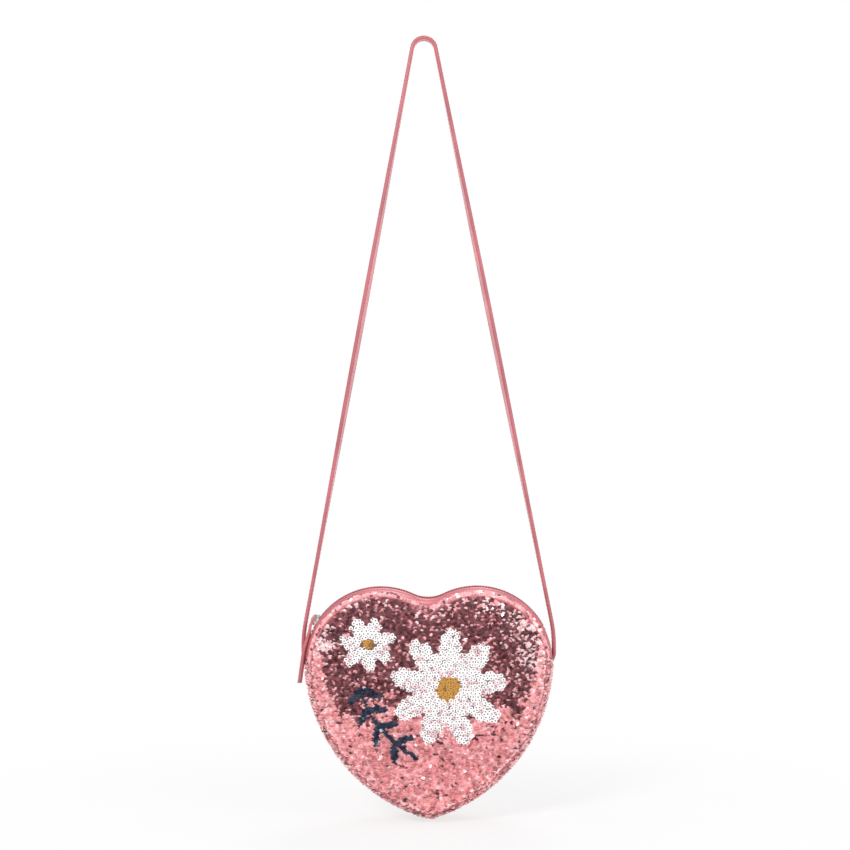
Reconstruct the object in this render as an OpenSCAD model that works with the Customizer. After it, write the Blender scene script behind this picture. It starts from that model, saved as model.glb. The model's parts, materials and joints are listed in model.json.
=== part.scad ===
// Heart-shaped shoulder bag for a child, hung by its strap.
// The origin is the hang point under the strap's top bend; +Z is up and the front faces -Y.
// Inside the bag the working plane has its own origin on the widest line of the heart.

/* [Heart outline] */
// Width across the two lobes at the crest of the side band
bag_w = 180; // [160:1:200]
// Radius of each lobe
lobe_r = 55; // [50:1:60]
// Angle below the widest line at which a lobe's arc runs on into the side arc
side_start = 4; // [2:0.5:8]
// Radius of the rounded tip
tip_r = 15; // [12:1:18]
// Depth of the tip below the widest line
tip_drop = 112.5; // [104:0.5:120]
// Radius of the hollow between the lobes along the crest
notch_r = 27; // [22:1:32]
// Radius of the cleft between the lobes along the panel seams
cleft_r = 2.5; // [2:0.5:5]

/* [Side band and panels] */
// Width of the side band between the two panel seams
gusset_w = 39; // [34:1:46]
// How far the side band crowns out between its seams
gusset_crown = 5; // [3:0.5:7]
// Thickness of the sequinned outer cloth
cloth_t = 1.2; // [0.8:0.1:1.6]
// Thickness of the padding at the middle of a panel
padding_t = 2.5; // [1.5:0.1:4]
// Thickness of the padding at the rim of a panel
padding_edge_t = 0.6; // [0.4:0.1:1]
// Thickness of the padding in the side band
gusset_padding_t = 2; // [1:0.1:3]
// Thickness of the lining cloth
lining_t = 0.5; // [0.3:0.1:0.8]
// How far a panel domes out apart from its padding
panel_dome = 2.5; // [1:0.5:5]
// Radius of the piping bead along each panel seam
piping_r = 0.9; // [0.6:0.1:1.4]
// Width of the tape that binds each seam inside
binding_w = 6; // [4:0.5:8]
// Thickness of that binding tape
binding_t = 0.8; // [0.5:0.1:1.2]

/* [Zip] */
// Angle above the widest line at which the zip ends on each lobe
zip_end_angle = 25; // [22:1:30]
// Thickness of each zip tape
tape_t = 0.5; // [0.4:0.1:0.8]
// Distance from one tooth to the next in a row
tooth_pitch = 2; // [1.8:0.1:2.4]
// Height of the teeth
tooth_h = 2; // [1.6:0.1:2.4]
// How far the teeth stand proud of the side band
tooth_proud = 0.7; // [0.4:0.1:1]
// Width of the closed chain of teeth
chain_w = 5; // [4.4:0.1:5.6]

/* [Slider and pull] */
// Angle above the widest line at which the closed slider sits
slider_angle = 34; // [34:1:40]
// Length of the slider along the zip
slider_l = 8.4; // [7.6:0.1:9]
// Width of the slider
slider_w = 7.8; // [7.6:0.1:8.4]
// Thickness of each slider plate
plate_t = 1.2; // [0.8:0.1:1.4]
// Diameter of the slider's bail bar
bail_d = 0.9; // [0.7:0.1:1.1]
// Thickness of the pull's leather
leather_t = 0.9; // [0.7:0.1:1.1]
// Width of the pull
pull_w = 4.6; // [3.6:0.1:4.8]

/* [Strap] */
// Height of the hang point above the widest line
hang_h = 455; // [400:5:500]
// Width of the strap
strap_w = 10; // [8:0.5:12]
// Thickness of the folded strap
strap_t = 2.5; // [2:0.1:3]
// Thickness of the strap's leatherette skin
strap_skin_t = 0.8; // [0.5:0.1:0.9]
// Radius of the peg that the strap hangs over
peg_r = 7.5; // [5:0.5:10]
// Radius of the strap's bend beside the bag
strap_bend_r = 95; // [85:5:120]
// How far the strands turn their outer faces to the front, in degrees
strap_turn = 15; // [0:1:20]
// Height above the widest line of the stretch where the strap flexes
flex_h = 43; // [41:1:48]

/* [Hidden] */

// Clearance between soft layers that lie on each other
layer_gap = 0.2;
// Clearance between pieces that move past each other
run_gap = 0.3;
// Steps on the arcs of one half of the outline
tip_steps = 3;
side_steps = 8;
low_lobe_steps = 1;
top_lobe_steps = 10;
notch_steps = 3;
// Angle on a lobe of the side seam where the strap goes in
seam_angle = 2.5;
// Length of strap over which it goes in through the side seam
entry_l = 8;
// Length of the strap end sewn in below the entry
sewn_l = 8;
// Share of a dome's rise over its radius
dome_power_share = 3;
// Middle of the dome below the widest line, as a share of the lobe radius
panel_mid_share = 1 / 6;
// Angle straight up, which is where the hollow is lowest seen from its centre
upright = 90;
// Stations nearer than this to the end of a band are left out
least_step_u = 0.05;
// Shares of the half width of the side band that the zip tapes and the zip linings reach to
tape_share = 2 / 3;
zip_lining_share = 1 / 3;
// Rings of a panel, as shares of its half size, from the rim to the middle
ring_shares = [1, 0.96, 0.86, 0.66, 0.36];

half_w = gusset_w / 2;
lobe_x = bag_w / 2 - lobe_r;
tip_z = tip_r - tip_drop;

// The side arc leaves the lobe at its start angle and has the radius with which it touches the tip arc
side_lobe_angle = -side_start;
start_dir = [cos(side_lobe_angle), sin(side_lobe_angle)];
reach_lobe = (pow(lobe_x, 2) + pow(tip_z, 2) - pow(lobe_r - tip_r, 2))
    / (2 * ([lobe_x, -tip_z] * start_dir + lobe_r - tip_r));
side_r = lobe_r + reach_lobe;
side_c = [lobe_x, 0] - reach_lobe * start_dir;
side_tip_angle = atan2(tip_z - side_c[1], -side_c[0]);

// Crown of the side band at a distance y from its middle
function crown(y) = gusset_crown * pow(min(1, abs(y) / half_w), 2);
// Radius of the hollow at y, before any layer below the surface is counted
function hollow(y) = notch_r + (cleft_r - notch_r) * pow(min(1, abs(y) / half_w), 2);
// Height of the hollow's centre at y
function hollow_z(y) = sqrt(pow(lobe_r - crown(y) + hollow(y), 2) - pow(lobe_x, 2));
// Angle on the lobe where it meets the hollow
function hollow_angle(y) = atan2(hollow_z(y), -lobe_x);

function polar(c, r, a) = [c[0] + r * cos(a), c[1] + r * sin(a)];
function mix(a, b, k) = a + (b - a) * k;

// Point of the right half at depth y and t below the surface.
// u runs 0..1 on the tip, 1..2 on the side, 2..3 on the lobe up to the seam,
// 3..4 on the lobe up to the hollow and 4..5 in the hollow.
function heart_at(u, y, t) =
    let (e = crown(y) + t, h = hollow_angle(y))
    u < 1 ? polar([0, tip_z], tip_r - e, mix(-upright, side_tip_angle, u))
    : u < 2 ? polar(side_c, side_r - e, mix(side_tip_angle, side_lobe_angle, u - 1))
    : u < 3 ? polar([lobe_x, 0], lobe_r - e, mix(side_lobe_angle, seam_angle, u - 2))
    : u < 4 ? polar([lobe_x, 0], lobe_r - e, mix(seam_angle, h, u - 3))
    : polar([0, hollow_z(y)], hollow(y) + t, mix(h - 2 * upright, -upright, u - 4));

// The same for both halves: v is u on the right and -u on the left
function heart(v, y, t) =
    let (p = heart_at(abs(v), y, t))
    [(v < 0 ? -1 : 1) * p[0], y, p[1]];

// Stations of the right half, of the whole outline, and of the bands below and above the side seams
function steps(a, b, n) = [for (i = [0 : n - 1]) mix(a, b, i / n)];
low_right = concat(steps(0, 1, tip_steps), steps(1, 2, side_steps), steps(2, 3, low_lobe_steps));
top_right = concat(steps(3, 4, top_lobe_steps), steps(4, 5, notch_steps));
low_band = concat([for (i = [len(low_right) - 1 : -1 : 1]) -low_right[i]], low_right);
outline = concat(low_right, top_right, [5],
    [for (i = [len(top_right) - 1 : -1 : 0]) -top_right[i]],
    [for (i = [len(low_right) - 1 : -1 : 1]) -low_right[i]]);
// Station on the lobe at an angle above the widest line, for small y
function station(a) = 3 + (a - seam_angle) / (hollow_angle(0) - seam_angle);

// Triangles of a grid of rows and columns, starting at point k.
// loop closes the columns onto each other, and turn reverses the faces.
// The second half of the columns is cut the other way, so that a band's two sides bend alike.
function grid(rows, cols, k, loop, turn) = [
    for (i = [0 : rows - 2], j = [0 : (loop ? cols - 1 : cols - 2)])
        let (j1 = (j + 1) % cols, a = k + i * cols + j, b = k + i * cols + j1, c = b + cols, d = a + cols)
        for (f = j < cols / 2 ? [[a, b, c], [a, c, d]] : [[a, b, d], [b, c, d]]) turn ? [f[2], f[1], f[0]] : f
];

// Triangles that close the end of a loop of n points, across from its out side to its back side
function cap(k, n, turn) = [
    for (i = [0 : n / 2 - 2])
        let (a = k + i, b = k + n - 1 - i)
        for (f = [[a, a + 1, b - 1], [a, b - 1, b]]) turn ? [f[2], f[1], f[0]] : f
];

function reversed(faces) = [for (f = faces) [for (i = [len(f) - 1 : -1 : 0]) f[i]]];

// Solid along a list of equal loops; ring joins the last loop to the first,
// and turn is for loops that run the other way round
module swept(loops, ring = false, turn = false) {
    n = len(loops[0]);
    all_loops = ring ? concat(loops, [loops[0]]) : loops;
    m = len(loops);
    pts = [for (l = loops) each l];
    body = [for (f = grid(len(all_loops), n, 0, true, false)) [for (i = f) i % (m * n)]];
    ends = ring ? [] : concat(cap(0, n, true), cap((m - 1) * n, n, false));
    faces = concat(body, ends);
    polyhedron(points = pts, faces = turn ? reversed(faces) : faces, convexity = 8);
}

// Loop of a band's cross-section at station v: out along the outer side, back along the inner
function band_loop(v, ys, t0, t1) = concat(
    [for (y = ys) heart(v, y, t0)],
    [for (i = [len(ys) - 1 : -1 : 0]) heart(v, ys[i], t1)]);

// Height of a panel's dome as a share, at a ring share s
function dome_at(s) = sqrt(1 - pow(s, dome_power_share));

// Layers of a panel, measured outward from the seam plane: [rim depth, middle depth]
lining_in = [layer_gap, panel_dome];
lining_out = [for (d = lining_in) d + lining_t];
padding_in = [for (d = lining_out) d + layer_gap];
padding_out = [padding_in[0] + padding_edge_t, padding_in[1] + padding_t];
panel_in = [for (d = padding_out) d + layer_gap];
panel_out = [for (d = panel_in) d + cloth_t];
// How far a panel's outline lies inside the piping bead
panel_inset = piping_r + layer_gap;
// Middle of the rings of a panel
panel_mid_z = -lobe_r * panel_mid_share;

// One point of a panel ring
function panel_pt(v, s, depth, inset) =
    let (p = heart(v, half_w, panel_inset + inset), d = mix(depth[0], depth[1], dome_at(s)))
    [p[0] * s, -half_w - d, mix(panel_mid_z, p[2], s)];

// A domed layer of a panel between two depths; bevel rounds its outer rim
module panel_layer(inner, outer, bevel) {
    n = len(outline);
    m = len(ring_shares);
    top = [for (s = ring_shares) each [for (v = outline) panel_pt(v, s, outer, bevel)]];
    low = [for (s = ring_shares) each [for (v = outline) panel_pt(v, s, inner, 0)]];
    mids = [[0, -half_w - outer[1], panel_mid_z], [0, -half_w - inner[1], panel_mid_z]];
    k = m * n;
    rim = [
        for (j = [0 : n - 1])
            let (j1 = (j + 1) % n)
            for (f = [[j, k + j, k + j1], [j, k + j1, j1]]) f
    ];
    middles = [
        for (j = [0 : n - 1])
            let (j1 = (j + 1) % n)
            for (f = [
                [(m - 1) * n + j, (m - 1) * n + j1, 2 * k],
                [k + (m - 1) * n + j1, k + (m - 1) * n + j, 2 * k + 1]
            ]) f
    ];
    polyhedron(
        points = concat(top, low, mids),
        faces = reversed(concat(grid(m, n, 0, true, false), grid(m, n, k, true, true), rim, middles)),
        convexity = 8);
}

module piping() {
    c = -half_w - layer_gap - piping_r;
    swept([
        for (v = outline)
            [for (a = [0 : 60 : 300]) heart(v, half_w, piping_r * cos(a)) + [0, c - half_w + piping_r * sin(a), 0]]
    ], ring = true);
}

// Depth below the surface at which the layers of the side band end
gusset_layers = cloth_t + layer_gap + gusset_padding_t + layer_gap + lining_t;

module seam_binding() {
    t = gusset_layers + layer_gap;
    swept([
        for (v = outline) band_loop(v, [-half_w + layer_gap, -half_w + binding_w], t, t + binding_t)
    ], ring = true, turn = true);
}

// Half width and half height, as an angle, of the slot in the side seam that the strap goes in through
slot_half = strap_w / 2 + run_gap;
slot_angle = entry_l / 2 / lobe_r * 180 / PI;

// All layers of the side band bend at the same shares of its half width
column_shares = [-1, -2 / 3, -1 / 3, 0, 1 / 3, 2 / 3, 1];
function columns(from, to) = concat(
    [from],
    [for (c = column_shares) if (c * half_w > from + layer_gap && c * half_w < to - layer_gap) c * half_w],
    [to]);

// Lower band between two depths that ends at station top_u on both sides;
// slot adds the notch for the strap in its two top ends
module lower_band(t0, t1, top_u, slot) {
    notch_ys = [-slot_half - layer_gap, -slot_half, slot_half, slot_half + layer_gap];
    ys = slot ? concat(columns(-half_w, notch_ys[0]), [notch_ys[1], 0, notch_ys[2]], columns(notch_ys[3], half_w))
        : columns(-half_w, half_w);
    slot_u = below_seam(entry_l / 2);
    last_u = (slot ? slot_u : top_u) - least_step_u;
    rows = concat([-top_u], [for (v = low_band) if (abs(v) < last_u) v], [top_u]);
    n = len(ys);
    swept([
        for (v = rows)
            let (us = [for (y = ys) slot && abs(v) == top_u && abs(y) <= slot_half ? sign(v) * slot_u : v])
            concat(
                [for (i = [0 : n - 1]) heart(us[i], ys[i], t0)],
                [for (i = [n - 1 : -1 : 0]) heart(us[i], ys[i], t1)])
    ], turn = true);
}

// Upper band from station end_u on the left over the hollow to the same station on the right
module upper_band(ys, t0, t1, end_u) {
    side = concat(
        end_u < above_strap_u ? [above_strap_u] : [],
        [for (v = top_right) if (v > above_strap_u + least_step_u) v]);
    rows = concat(
        [-end_u], [for (v = side) -v], [5],
        [for (i = [len(side) - 1 : -1 : 0]) side[i]], [end_u]);
    swept([for (v = rows) band_loop(v, ys, t0, t1)]);
}

// Stations just above the side seam and just above the strap where it goes in
seam_u = station(seam_angle + layer_gap / lobe_r * 180 / PI);
above_strap_u = station(seam_angle + slot_angle);

// Crest line of the band by length s from the middle of the hollow: [x, z, tilt of the outward side]
hollow_l = notch_r * (hollow_angle(0) - upright) * PI / 180;
function crest(s, t) =
    let (
        m = abs(s) < hollow_l ? [0, hollow_z(0)] : [lobe_x, 0],
        a = abs(s) < hollow_l ? abs(s) / notch_r * 180 / PI - upright
            : hollow_angle(0) - (abs(s) - hollow_l) / lobe_r * 180 / PI,
        p = polar(m, abs(s) < hollow_l ? notch_r + t : lobe_r - t, a),
        tilt = abs(s) < hollow_l ? -(a + upright) : upright - a,
        side = s < 0 ? -1 : 1
    )
    [side * p[0], p[1], side * tilt];

// Length along the crest from the middle of the hollow to an angle on a lobe
function crest_l(a) = hollow_l + lobe_r * (hollow_angle(0) - a) * PI / 180;

// Puts a shape on the crest: its +Z points outward and its +X along the zip
module on_crest(s) {
    c = crest(s, 0);
    translate([c[0], 0, c[1]])
        rotate([0, c[2], 0])
            children();
}

// One tooth of the row whose tape lies at -Y: a stem and a bulb that reaches past the middle.
// It is drawn in at its neck and its crown by the shares below.
reach_share = 0.1;
bulb_share = 0.42;
neck_share = 0.72;
stem_end_share = 0.5;
neck_at_share = 0.35;
bulb_low_share = 0.1;
bulb_high_share = 0.6;
crown_share = 0.25;
tooth_root = chain_w / 2;
tooth_reach = chain_w * reach_share;
tooth_bulb = tooth_pitch * bulb_share;
tooth_neck = tooth_bulb * neck_share;
tooth_base_t = tooth_h - tooth_proud;
tooth_side = [
    [tooth_bulb / 2, -tooth_root],
    [tooth_bulb / 2, -tooth_root * stem_end_share],
    [tooth_neck / 2, -tooth_root * neck_at_share],
    [tooth_bulb / 2, tooth_reach * bulb_low_share],
    [tooth_bulb / 2, tooth_reach * bulb_high_share],
    [tooth_bulb * crown_share, tooth_reach]
];
module tooth() {
    translate([0, 0, -tooth_base_t])
        linear_extrude(tooth_h)
            polygon(concat(
                tooth_side,
                [for (i = [len(tooth_side) - 1 : -1 : 0]) [-tooth_side[i][0], tooth_side[i][1]]]));
}

// A row fills the zip between its stops; half a pitch of shift meshes it with the other row
teeth_l = 2 * crest_l(zip_end_angle) - 2 * tooth_pitch;
module tooth_row(shift) {
    n = floor((teeth_l - tooth_pitch) / tooth_pitch);
    for (i = [0 : n])
        on_crest((i - n / 2) * tooth_pitch + shift)
            tooth();
}

tape_in = tooth_base_t + layer_gap / 2;
// Edge of each tape under the teeth
tape_edge_share = 0.3;
tape_edge = chain_w * tape_edge_share;

module zip_tape() {
    upper_band(columns(-half_w * tape_share, -tape_edge), tape_in, tape_in + tape_t, above_strap_u);
}

module zip_strip() {
    upper_band(columns(-half_w, -slot_half), 0, cloth_t, seam_u);
}

module zip_lining() {
    t = tape_in + tape_t + layer_gap;
    upper_band(columns(-half_w, -half_w * zip_lining_share), t, t + lining_t, seam_u);
}

// Two small clips that stop the slider when the zip is closed, or one bar across both rows
stop_share = 0.8;
stop_l = tooth_pitch * stop_share;
module stop_clip(w) {
    translate([-stop_l / 2, 0, -tooth_base_t])
        cube([stop_l, w, tooth_h]);
}

stop_s = teeth_l / 2 + stop_l;
module closed_stops() {
    gap = layer_gap;
    on_crest(-stop_s) {
        translate([0, gap / 2, 0])
            stop_clip(tooth_root - gap);
        translate([0, gap / 2 - tooth_root, 0])
            stop_clip(tooth_root - gap);
    }
}

module open_stop() {
    on_crest(stop_s)
        translate([0, -tooth_root, 0])
            stop_clip(chain_w);
}

// Leatherette tab over an end of the zip, from the strap's slot to the stops
tab_half = slot_half - layer_gap;
module end_tab(side) {
    // The tab stops a pitch short of the stops
    hi = station(zip_end_angle - tooth_pitch / lobe_r * 180 / PI / 2);
    t = tape_in - layer_gap;
    swept([
        for (k = [0 : 3])
            let (v = side * mix(above_strap_u, hi, k / 3))
            band_loop(v, columns(-tab_half, tab_half), 0, t)
    ], turn = side > 0);
}

// Zip slider: the upper plate with its side flanges and the bail
plate_low = tooth_proud + run_gap;
plate_top = plate_low + plate_t;
flange_t = slider_w / 2 - chain_w / 2 - run_gap;
flange_low = -tape_in + run_gap;
flange_l_share = 0.6;
flange_l = slider_l * flange_l_share;
// Clearance of the leather under the bail
bail_clear = 0.25;
bail_z = plate_top + bail_clear + leather_t + bail_d / 2;
// Thickness along the zip of the two posts that carry the bail
post_l = 0.8;
post_x = pull_w / 2 + run_gap;

// Shares of the slider's length and width where its corners are cut, at its tail and its nose
tail_l_share = 0.7;
tail_w_share = 0.3;
nose_l_share = 0.6;
nose_w_share = 0.36;
module slider_outline(w) {
    l = slider_l / 2;
    polygon([
        [-l, -w * tail_w_share], [-l * tail_l_share, -w / 2], [l * nose_l_share, -w / 2], [l, -w * nose_w_share],
        [l, w * nose_w_share], [l * nose_l_share, w / 2], [-l * tail_l_share, w / 2], [-l, w * tail_w_share]
    ]);
}

slider_s = -crest_l(slider_angle);

module slider_body() {
    on_crest(slider_s) {
        translate([0, 0, plate_low])
            linear_extrude(plate_t)
                slider_outline(slider_w);
        for (side = [-1, 1])
            translate([-flange_l / 2, side > 0 ? slider_w / 2 - flange_t : -slider_w / 2, flange_low])
                cube([flange_l, flange_t, plate_low + plate_t / 2 - flange_low]);
        for (side = [-1, 1])
            translate([side > 0 ? post_x : -post_x - post_l, -bail_d, plate_low + plate_t / 2])
                cube([post_l, 2 * bail_d, bail_z + bail_d / 2 - plate_low - plate_t / 2]);
        translate([-post_x - post_l / 2, 0, bail_z])
            rotate([0, 90, 0])
                cylinder(h = 2 * post_x + post_l, d = bail_d, $fn = 8);
    }
}

// Thickness of the slider's lower plate
lower_plate_t = 0.9;
module slider_lower_plate() {
    // The flat plate clears the tape's curve at both its ends
    sag = lobe_r - sqrt(pow(lobe_r, 2) - pow(slider_l / 2, 2));
    on_crest(slider_s)
        translate([0, 0, -tape_in - tape_t - 2 * run_gap - sag - lower_plate_t])
            linear_extrude(lower_plate_t)
                slider_outline(slider_w);
}

// Loops of a flat strip: centre points, width directions, and a width and a thickness at each point
function unit(v) = v / norm(v);
function strip_loops(ps, ws, widths, ts) = [
    for (i = [0 : len(ps) - 1])
        let (
            a = ps[max(0, i - 1)],
            b = ps[min(len(ps) - 1, i + 1)],
            dir = unit(b - a),
            wd = unit(ws[i] - (ws[i] * dir) * dir),
            side = wd * widths[i] / 2,
            nd = cross(dir, wd) * ts[i] / 2
        )
        [ps[i] - side - nd, ps[i] + side - nd, ps[i] + side + nd, ps[i] - side + nd]
];
function alike(ps, t) = [for (p = ps) t];

// Pull: a leather strip looped round the bail, out to the front and down beside the strap.
// Its line is given by distances from the bail, as shares of its drop.
pull_drop = 46;
// Gap between the two plies of the pull
ply_gap = 0.1;
pull_shares = [
    [0, -0.026, 0], [-0.003, -0.076, -0.006], [-0.018, -0.13, -0.041], [-0.047, -0.168, -0.1],
    [-0.062, -0.18, -0.193], [-0.097, -0.187, -0.324], [-0.143, -0.191, -0.491],
    [-0.175, -0.196, -0.683], [-0.223, -0.196, -1]
];
pull_turn_shares = [0, 0, 0.15, 0.4, 0.65, 0.85, 1, 1, 1];
pull_turn = 20;
ply = leather_t + ply_gap;

function ease(list, k) =
    let (i = min(floor(k), len(list) - 2), f = k - i, last = len(list) - 1,
        p0 = list[max(0, i - 1)], p1 = list[i], p2 = list[i + 1], p3 = list[min(last, i + 2)])
    p1 + 0.5 * f * (p2 - p0 + f * (2 * p0 - 5 * p1 + 4 * p2 - p3 + f * (3 * (p1 - p2) + p3 - p0)));

bail_p = let (c = crest(slider_s, -bail_z)) [c[0], 0, c[1]];
bail_tilt = crest(slider_s, 0)[2];
along_zip = [cos(bail_tilt), 0, -sin(bail_tilt)];
outward = [sin(bail_tilt), 0, cos(bail_tilt)];
pull_n = 20;
pull_spans = len(pull_shares) - 1;

module pull_tab() {
    mids = [for (i = [0 : pull_n]) bail_p + pull_drop * ease(pull_shares, i * pull_spans / pull_n)];
    turns = [for (i = [0 : pull_n]) ease(pull_turn_shares, i * pull_spans / pull_n)];
    // The strip's width runs along the zip at the bail and ends nearly across the side band
    wide = [for (k = turns) unit(mix(along_zip, [-sin(pull_turn), -cos(pull_turn), 0], k))];
    // Half the distance between the two plies: they part round the bail
    part = [for (i = [0 : pull_n]) max(ply / 2, ply - i * ply / 4)];
    side = [
        for (i = [0 : pull_n])
            let (
                dir = unit(mids[min(pull_n, i + 1)] - mids[max(0, i - 1)]),
                wd = unit(wide[i] - (wide[i] * dir) * dir)
            )
            cross(dir, wd)
    ];
    round_n = 6;
    outer = [for (i = [pull_n : -1 : 0]) mids[i] + side[i] * part[i]];
    turn_pts = [
        for (k = [0 : round_n])
            let (a = 90 - k * 180 / round_n)
            bail_p + ply * (outward * sin(a) + [0, 1, 0] * cos(a))
    ];
    inner = [for (i = [0 : pull_n]) mids[i] - side[i] * part[i]];
    ps = concat(outer, turn_pts, inner);
    ws = concat(
        [for (i = [pull_n : -1 : 0]) wide[i]],
        [for (k = [0 : round_n]) along_zip],
        wide);
    swept(strip_loops(ps, ws, alike(ps, pull_w), alike(ps, leather_t)), turn = true);
}

// Strap: the right strand from the side seam up to the top bend, in x and z
strap_mid_r = peg_r + strap_t / 2;
strap_x = bag_w / 2 + run_gap + strap_t / 2;
// Height above the widest line at which the lower bend starts
bend_z = 12;
top_z = hang_h - peg_r;
// The straight stretch leaves the lower bend at the angle at which it meets the top bend
lower_c = [strap_x - strap_bend_r, bend_z];
reach = norm([lower_c[0], top_z - bend_z]);
strand_lean = atan2(top_z - bend_z, -lower_c[0]) - acos((strap_bend_r - strap_mid_r) / reach);
bend_end = polar(lower_c, strap_bend_r, strand_lean);
top_start = polar([0, top_z], strap_mid_r, strand_lean);

function smooth(k) = k * k * (3 - 2 * k);
seam_z = lobe_r * sin(seam_angle);
entry_z = seam_z + entry_l / 2;
sewn_t = 2 * strap_skin_t;
// The sewn tail lies under the outer cloth, clear of the cloth's crown
sewn_depth = cloth_t + layer_gap + crown(strap_w / 2) + sewn_t / 2;
// Station on the lobe at a length below the side seam
lobe_below = lobe_r * (seam_angle - side_lobe_angle) * PI / 180;
function below_seam(l) = 3 - l / lobe_below;
// Share of the first flat stretch of the side arc that the tail covers, and a point on it
tail_l = entry_l / 2 + sewn_l - lobe_below;
side_step_l = side_r * (side_lobe_angle - side_tip_angle) / side_steps * PI / 180;
side_step_u = 2 - 1 / side_steps;
inside = heart_at(below_seam(entry_l / 2), 0, sewn_depth);

// Points of the strap end from its sewn tail up through the side seam
end_low = [
    mix(heart_at(2, 0, sewn_depth), heart_at(side_step_u, 0, sewn_depth), tail_l / side_step_l),
    heart_at(2, 0, sewn_depth),
    each [for (k = [0 : 8]) [mix(inside[0], strap_x, smooth(k / 8)), mix(inside[1], entry_z, k / 8)]]
];
end_low_t = [sewn_t, sewn_t, each [for (k = [0 : 8]) mix(sewn_t, strap_t, smooth(k / 8))]];
function on_strand(z) =
    z < bend_z ? [strap_x, z]
    : z < bend_end[1] ? [lower_c[0] + sqrt(pow(strap_bend_r, 2) - pow(z - bend_z, 2)), z]
    : mix(bend_end, top_start, (z - bend_end[1]) / (top_start[1] - bend_end[1]));

// The strap starts just far enough above the flexing stretch for the bag to tip a quarter turn
flex_top = flex_h + strap_w / 2 + run_gap;
end_high = [for (k = [1 : 6]) on_strand(mix(entry_z, flex_h, k / 6))];
// The strap end's top is round about the flexing stretch
round_angles = [15, 30, 45, 60, 72, 84];
end_round = [for (a = round_angles) on_strand(flex_h + strap_w / 2 * sin(a))];
strap_low = [for (k = [0 : 22]) on_strand(mix(flex_top, top_start[1], k / 22))];
top_bend = [for (k = [1 : 9]) polar([0, top_z], strap_mid_r, mix(strand_lean, 180 - strand_lean, k / 10))];

function turned(p) =
    let (k = (p[1] - flex_top) / (top_start[1] - flex_top), a = strap_turn * pow(sin(180 * max(0, min(1, k))), 2))
    [(p[0] < 0 ? 1 : -1) * sin(a), -cos(a), 0];

strap_line = concat(strap_low, top_bend, [for (i = [len(strap_low) - 1 : -1 : 0]) [-strap_low[i][0], strap_low[i][1]]]);

function strap_loops(w, t) = strip_loops(
    [for (p = strap_line) [p[0], 0, p[1]]], [for (p = strap_line) turned(p)],
    alike(strap_line, w), alike(strap_line, t));

// The folded skin in three stretches that meet where the top bend starts and ends.
// It is open at its two lower ends, where the core shows.
strap_first = 0;
bend_first = len(strap_low) - 1;
bend_last = len(strap_line) - len(strap_low);
strap_last = len(strap_line) - 1;
module strap_cover(first, last) {
    whole_outer = strap_loops(strap_w, strap_t);
    whole_inner = strap_loops(strap_w - 2 * strap_skin_t, strap_t - 2 * strap_skin_t);
    outer = [for (i = [first : last]) whole_outer[i]];
    inner = [for (i = [first : last]) whole_inner[i]];
    n = last - first + 1;
    k = 4 * n;
    ends = [
        for (j = [0 : 3])
            let (j1 = (j + 1) % 4, e = 4 * (n - 1))
            for (f = [
                [j, k + j1, j1], [j, k + j, k + j1],
                [e + j, e + j1, k + e + j1], [e + j, k + e + j1, k + e + j]
            ]) f
    ];
    polyhedron(
        points = concat([for (l = outer) each l], [for (l = inner) each l]),
        faces = reversed(concat(grid(n, 4, 0, true, false), grid(n, 4, k, true, true), ends)),
        convexity = 8);
}

module strap_core() {
    inset = 2 * strap_skin_t + layer_gap;
    swept(strap_loops(strap_w - inset, strap_t - inset), turn = true);
}

// The strap end is sewn in at the side seam and ends where the strap flexes
module strap_end() {
    flat = concat(end_low, end_high);
    line = concat(flat, end_round);
    widths = concat(alike(flat, strap_w), [for (a = round_angles) strap_w * cos(a)]);
    ts = concat(end_low_t, alike(concat(end_high, end_round), strap_t));
    swept(strip_loops([for (p = line) [p[0], 0, p[1]]], [for (p = line) [0, -1, 0]], widths, ts), turn = true);
}

module in_bag() {
    translate([0, 0, -hang_h])
        children();
}

module to_back() {
    mirror([0, 1, 0])
        children();
}

sequin_pink = [0.86, 0.47, 0.5];
leatherette_rose = [0.76, 0.44, 0.48];
lining_rose = [0.8, 0.62, 0.64];
padding_white = [0.93, 0.92, 0.9];
zip_rose = [0.78, 0.45, 0.5];
metal_silver = [0.75, 0.75, 0.76];

module front_panel() color(sequin_pink) in_bag() panel_layer(panel_in, panel_out, cloth_t / 2);
module front_padding() color(padding_white) in_bag() panel_layer(padding_in, padding_out, 0);
module front_lining() color(lining_rose) in_bag() panel_layer(lining_in, lining_out, 0);
module front_piping() color(leatherette_rose) in_bag() piping();
module front_seam_binding() color(lining_rose) in_bag() seam_binding();
module back_panel() color(sequin_pink) in_bag() to_back() panel_layer(panel_in, panel_out, cloth_t / 2);
module back_padding() color(padding_white) in_bag() to_back() panel_layer(padding_in, padding_out, 0);
module back_lining() color(lining_rose) in_bag() to_back() panel_layer(lining_in, lining_out, 0);
module back_piping() color(leatherette_rose) in_bag() to_back() piping();
module back_seam_binding() color(lining_rose) in_bag() to_back() seam_binding();
module lower_gusset() color(sequin_pink) in_bag() lower_band(0, cloth_t, 3, true);
module lower_gusset_padding() color(padding_white) in_bag()
    lower_band(cloth_t + layer_gap, cloth_t + layer_gap + gusset_padding_t, side_step_u, false);
module lower_gusset_lining() color(lining_rose) in_bag()
    lower_band(gusset_layers - lining_t, gusset_layers, 3, false);
module zip_strip_front() color(sequin_pink) in_bag() zip_strip();
module zip_strip_back() color(sequin_pink) in_bag() to_back() zip_strip();
module zip_lining_front() color(lining_rose) in_bag() zip_lining();
module zip_lining_back() color(lining_rose) in_bag() to_back() zip_lining();
module zip_tape_front() color(zip_rose) in_bag() zip_tape();
module zip_tape_back() color(zip_rose) in_bag() to_back() zip_tape();
module zip_teeth_front() color(zip_rose) in_bag() tooth_row(-tooth_pitch / 4);
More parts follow.
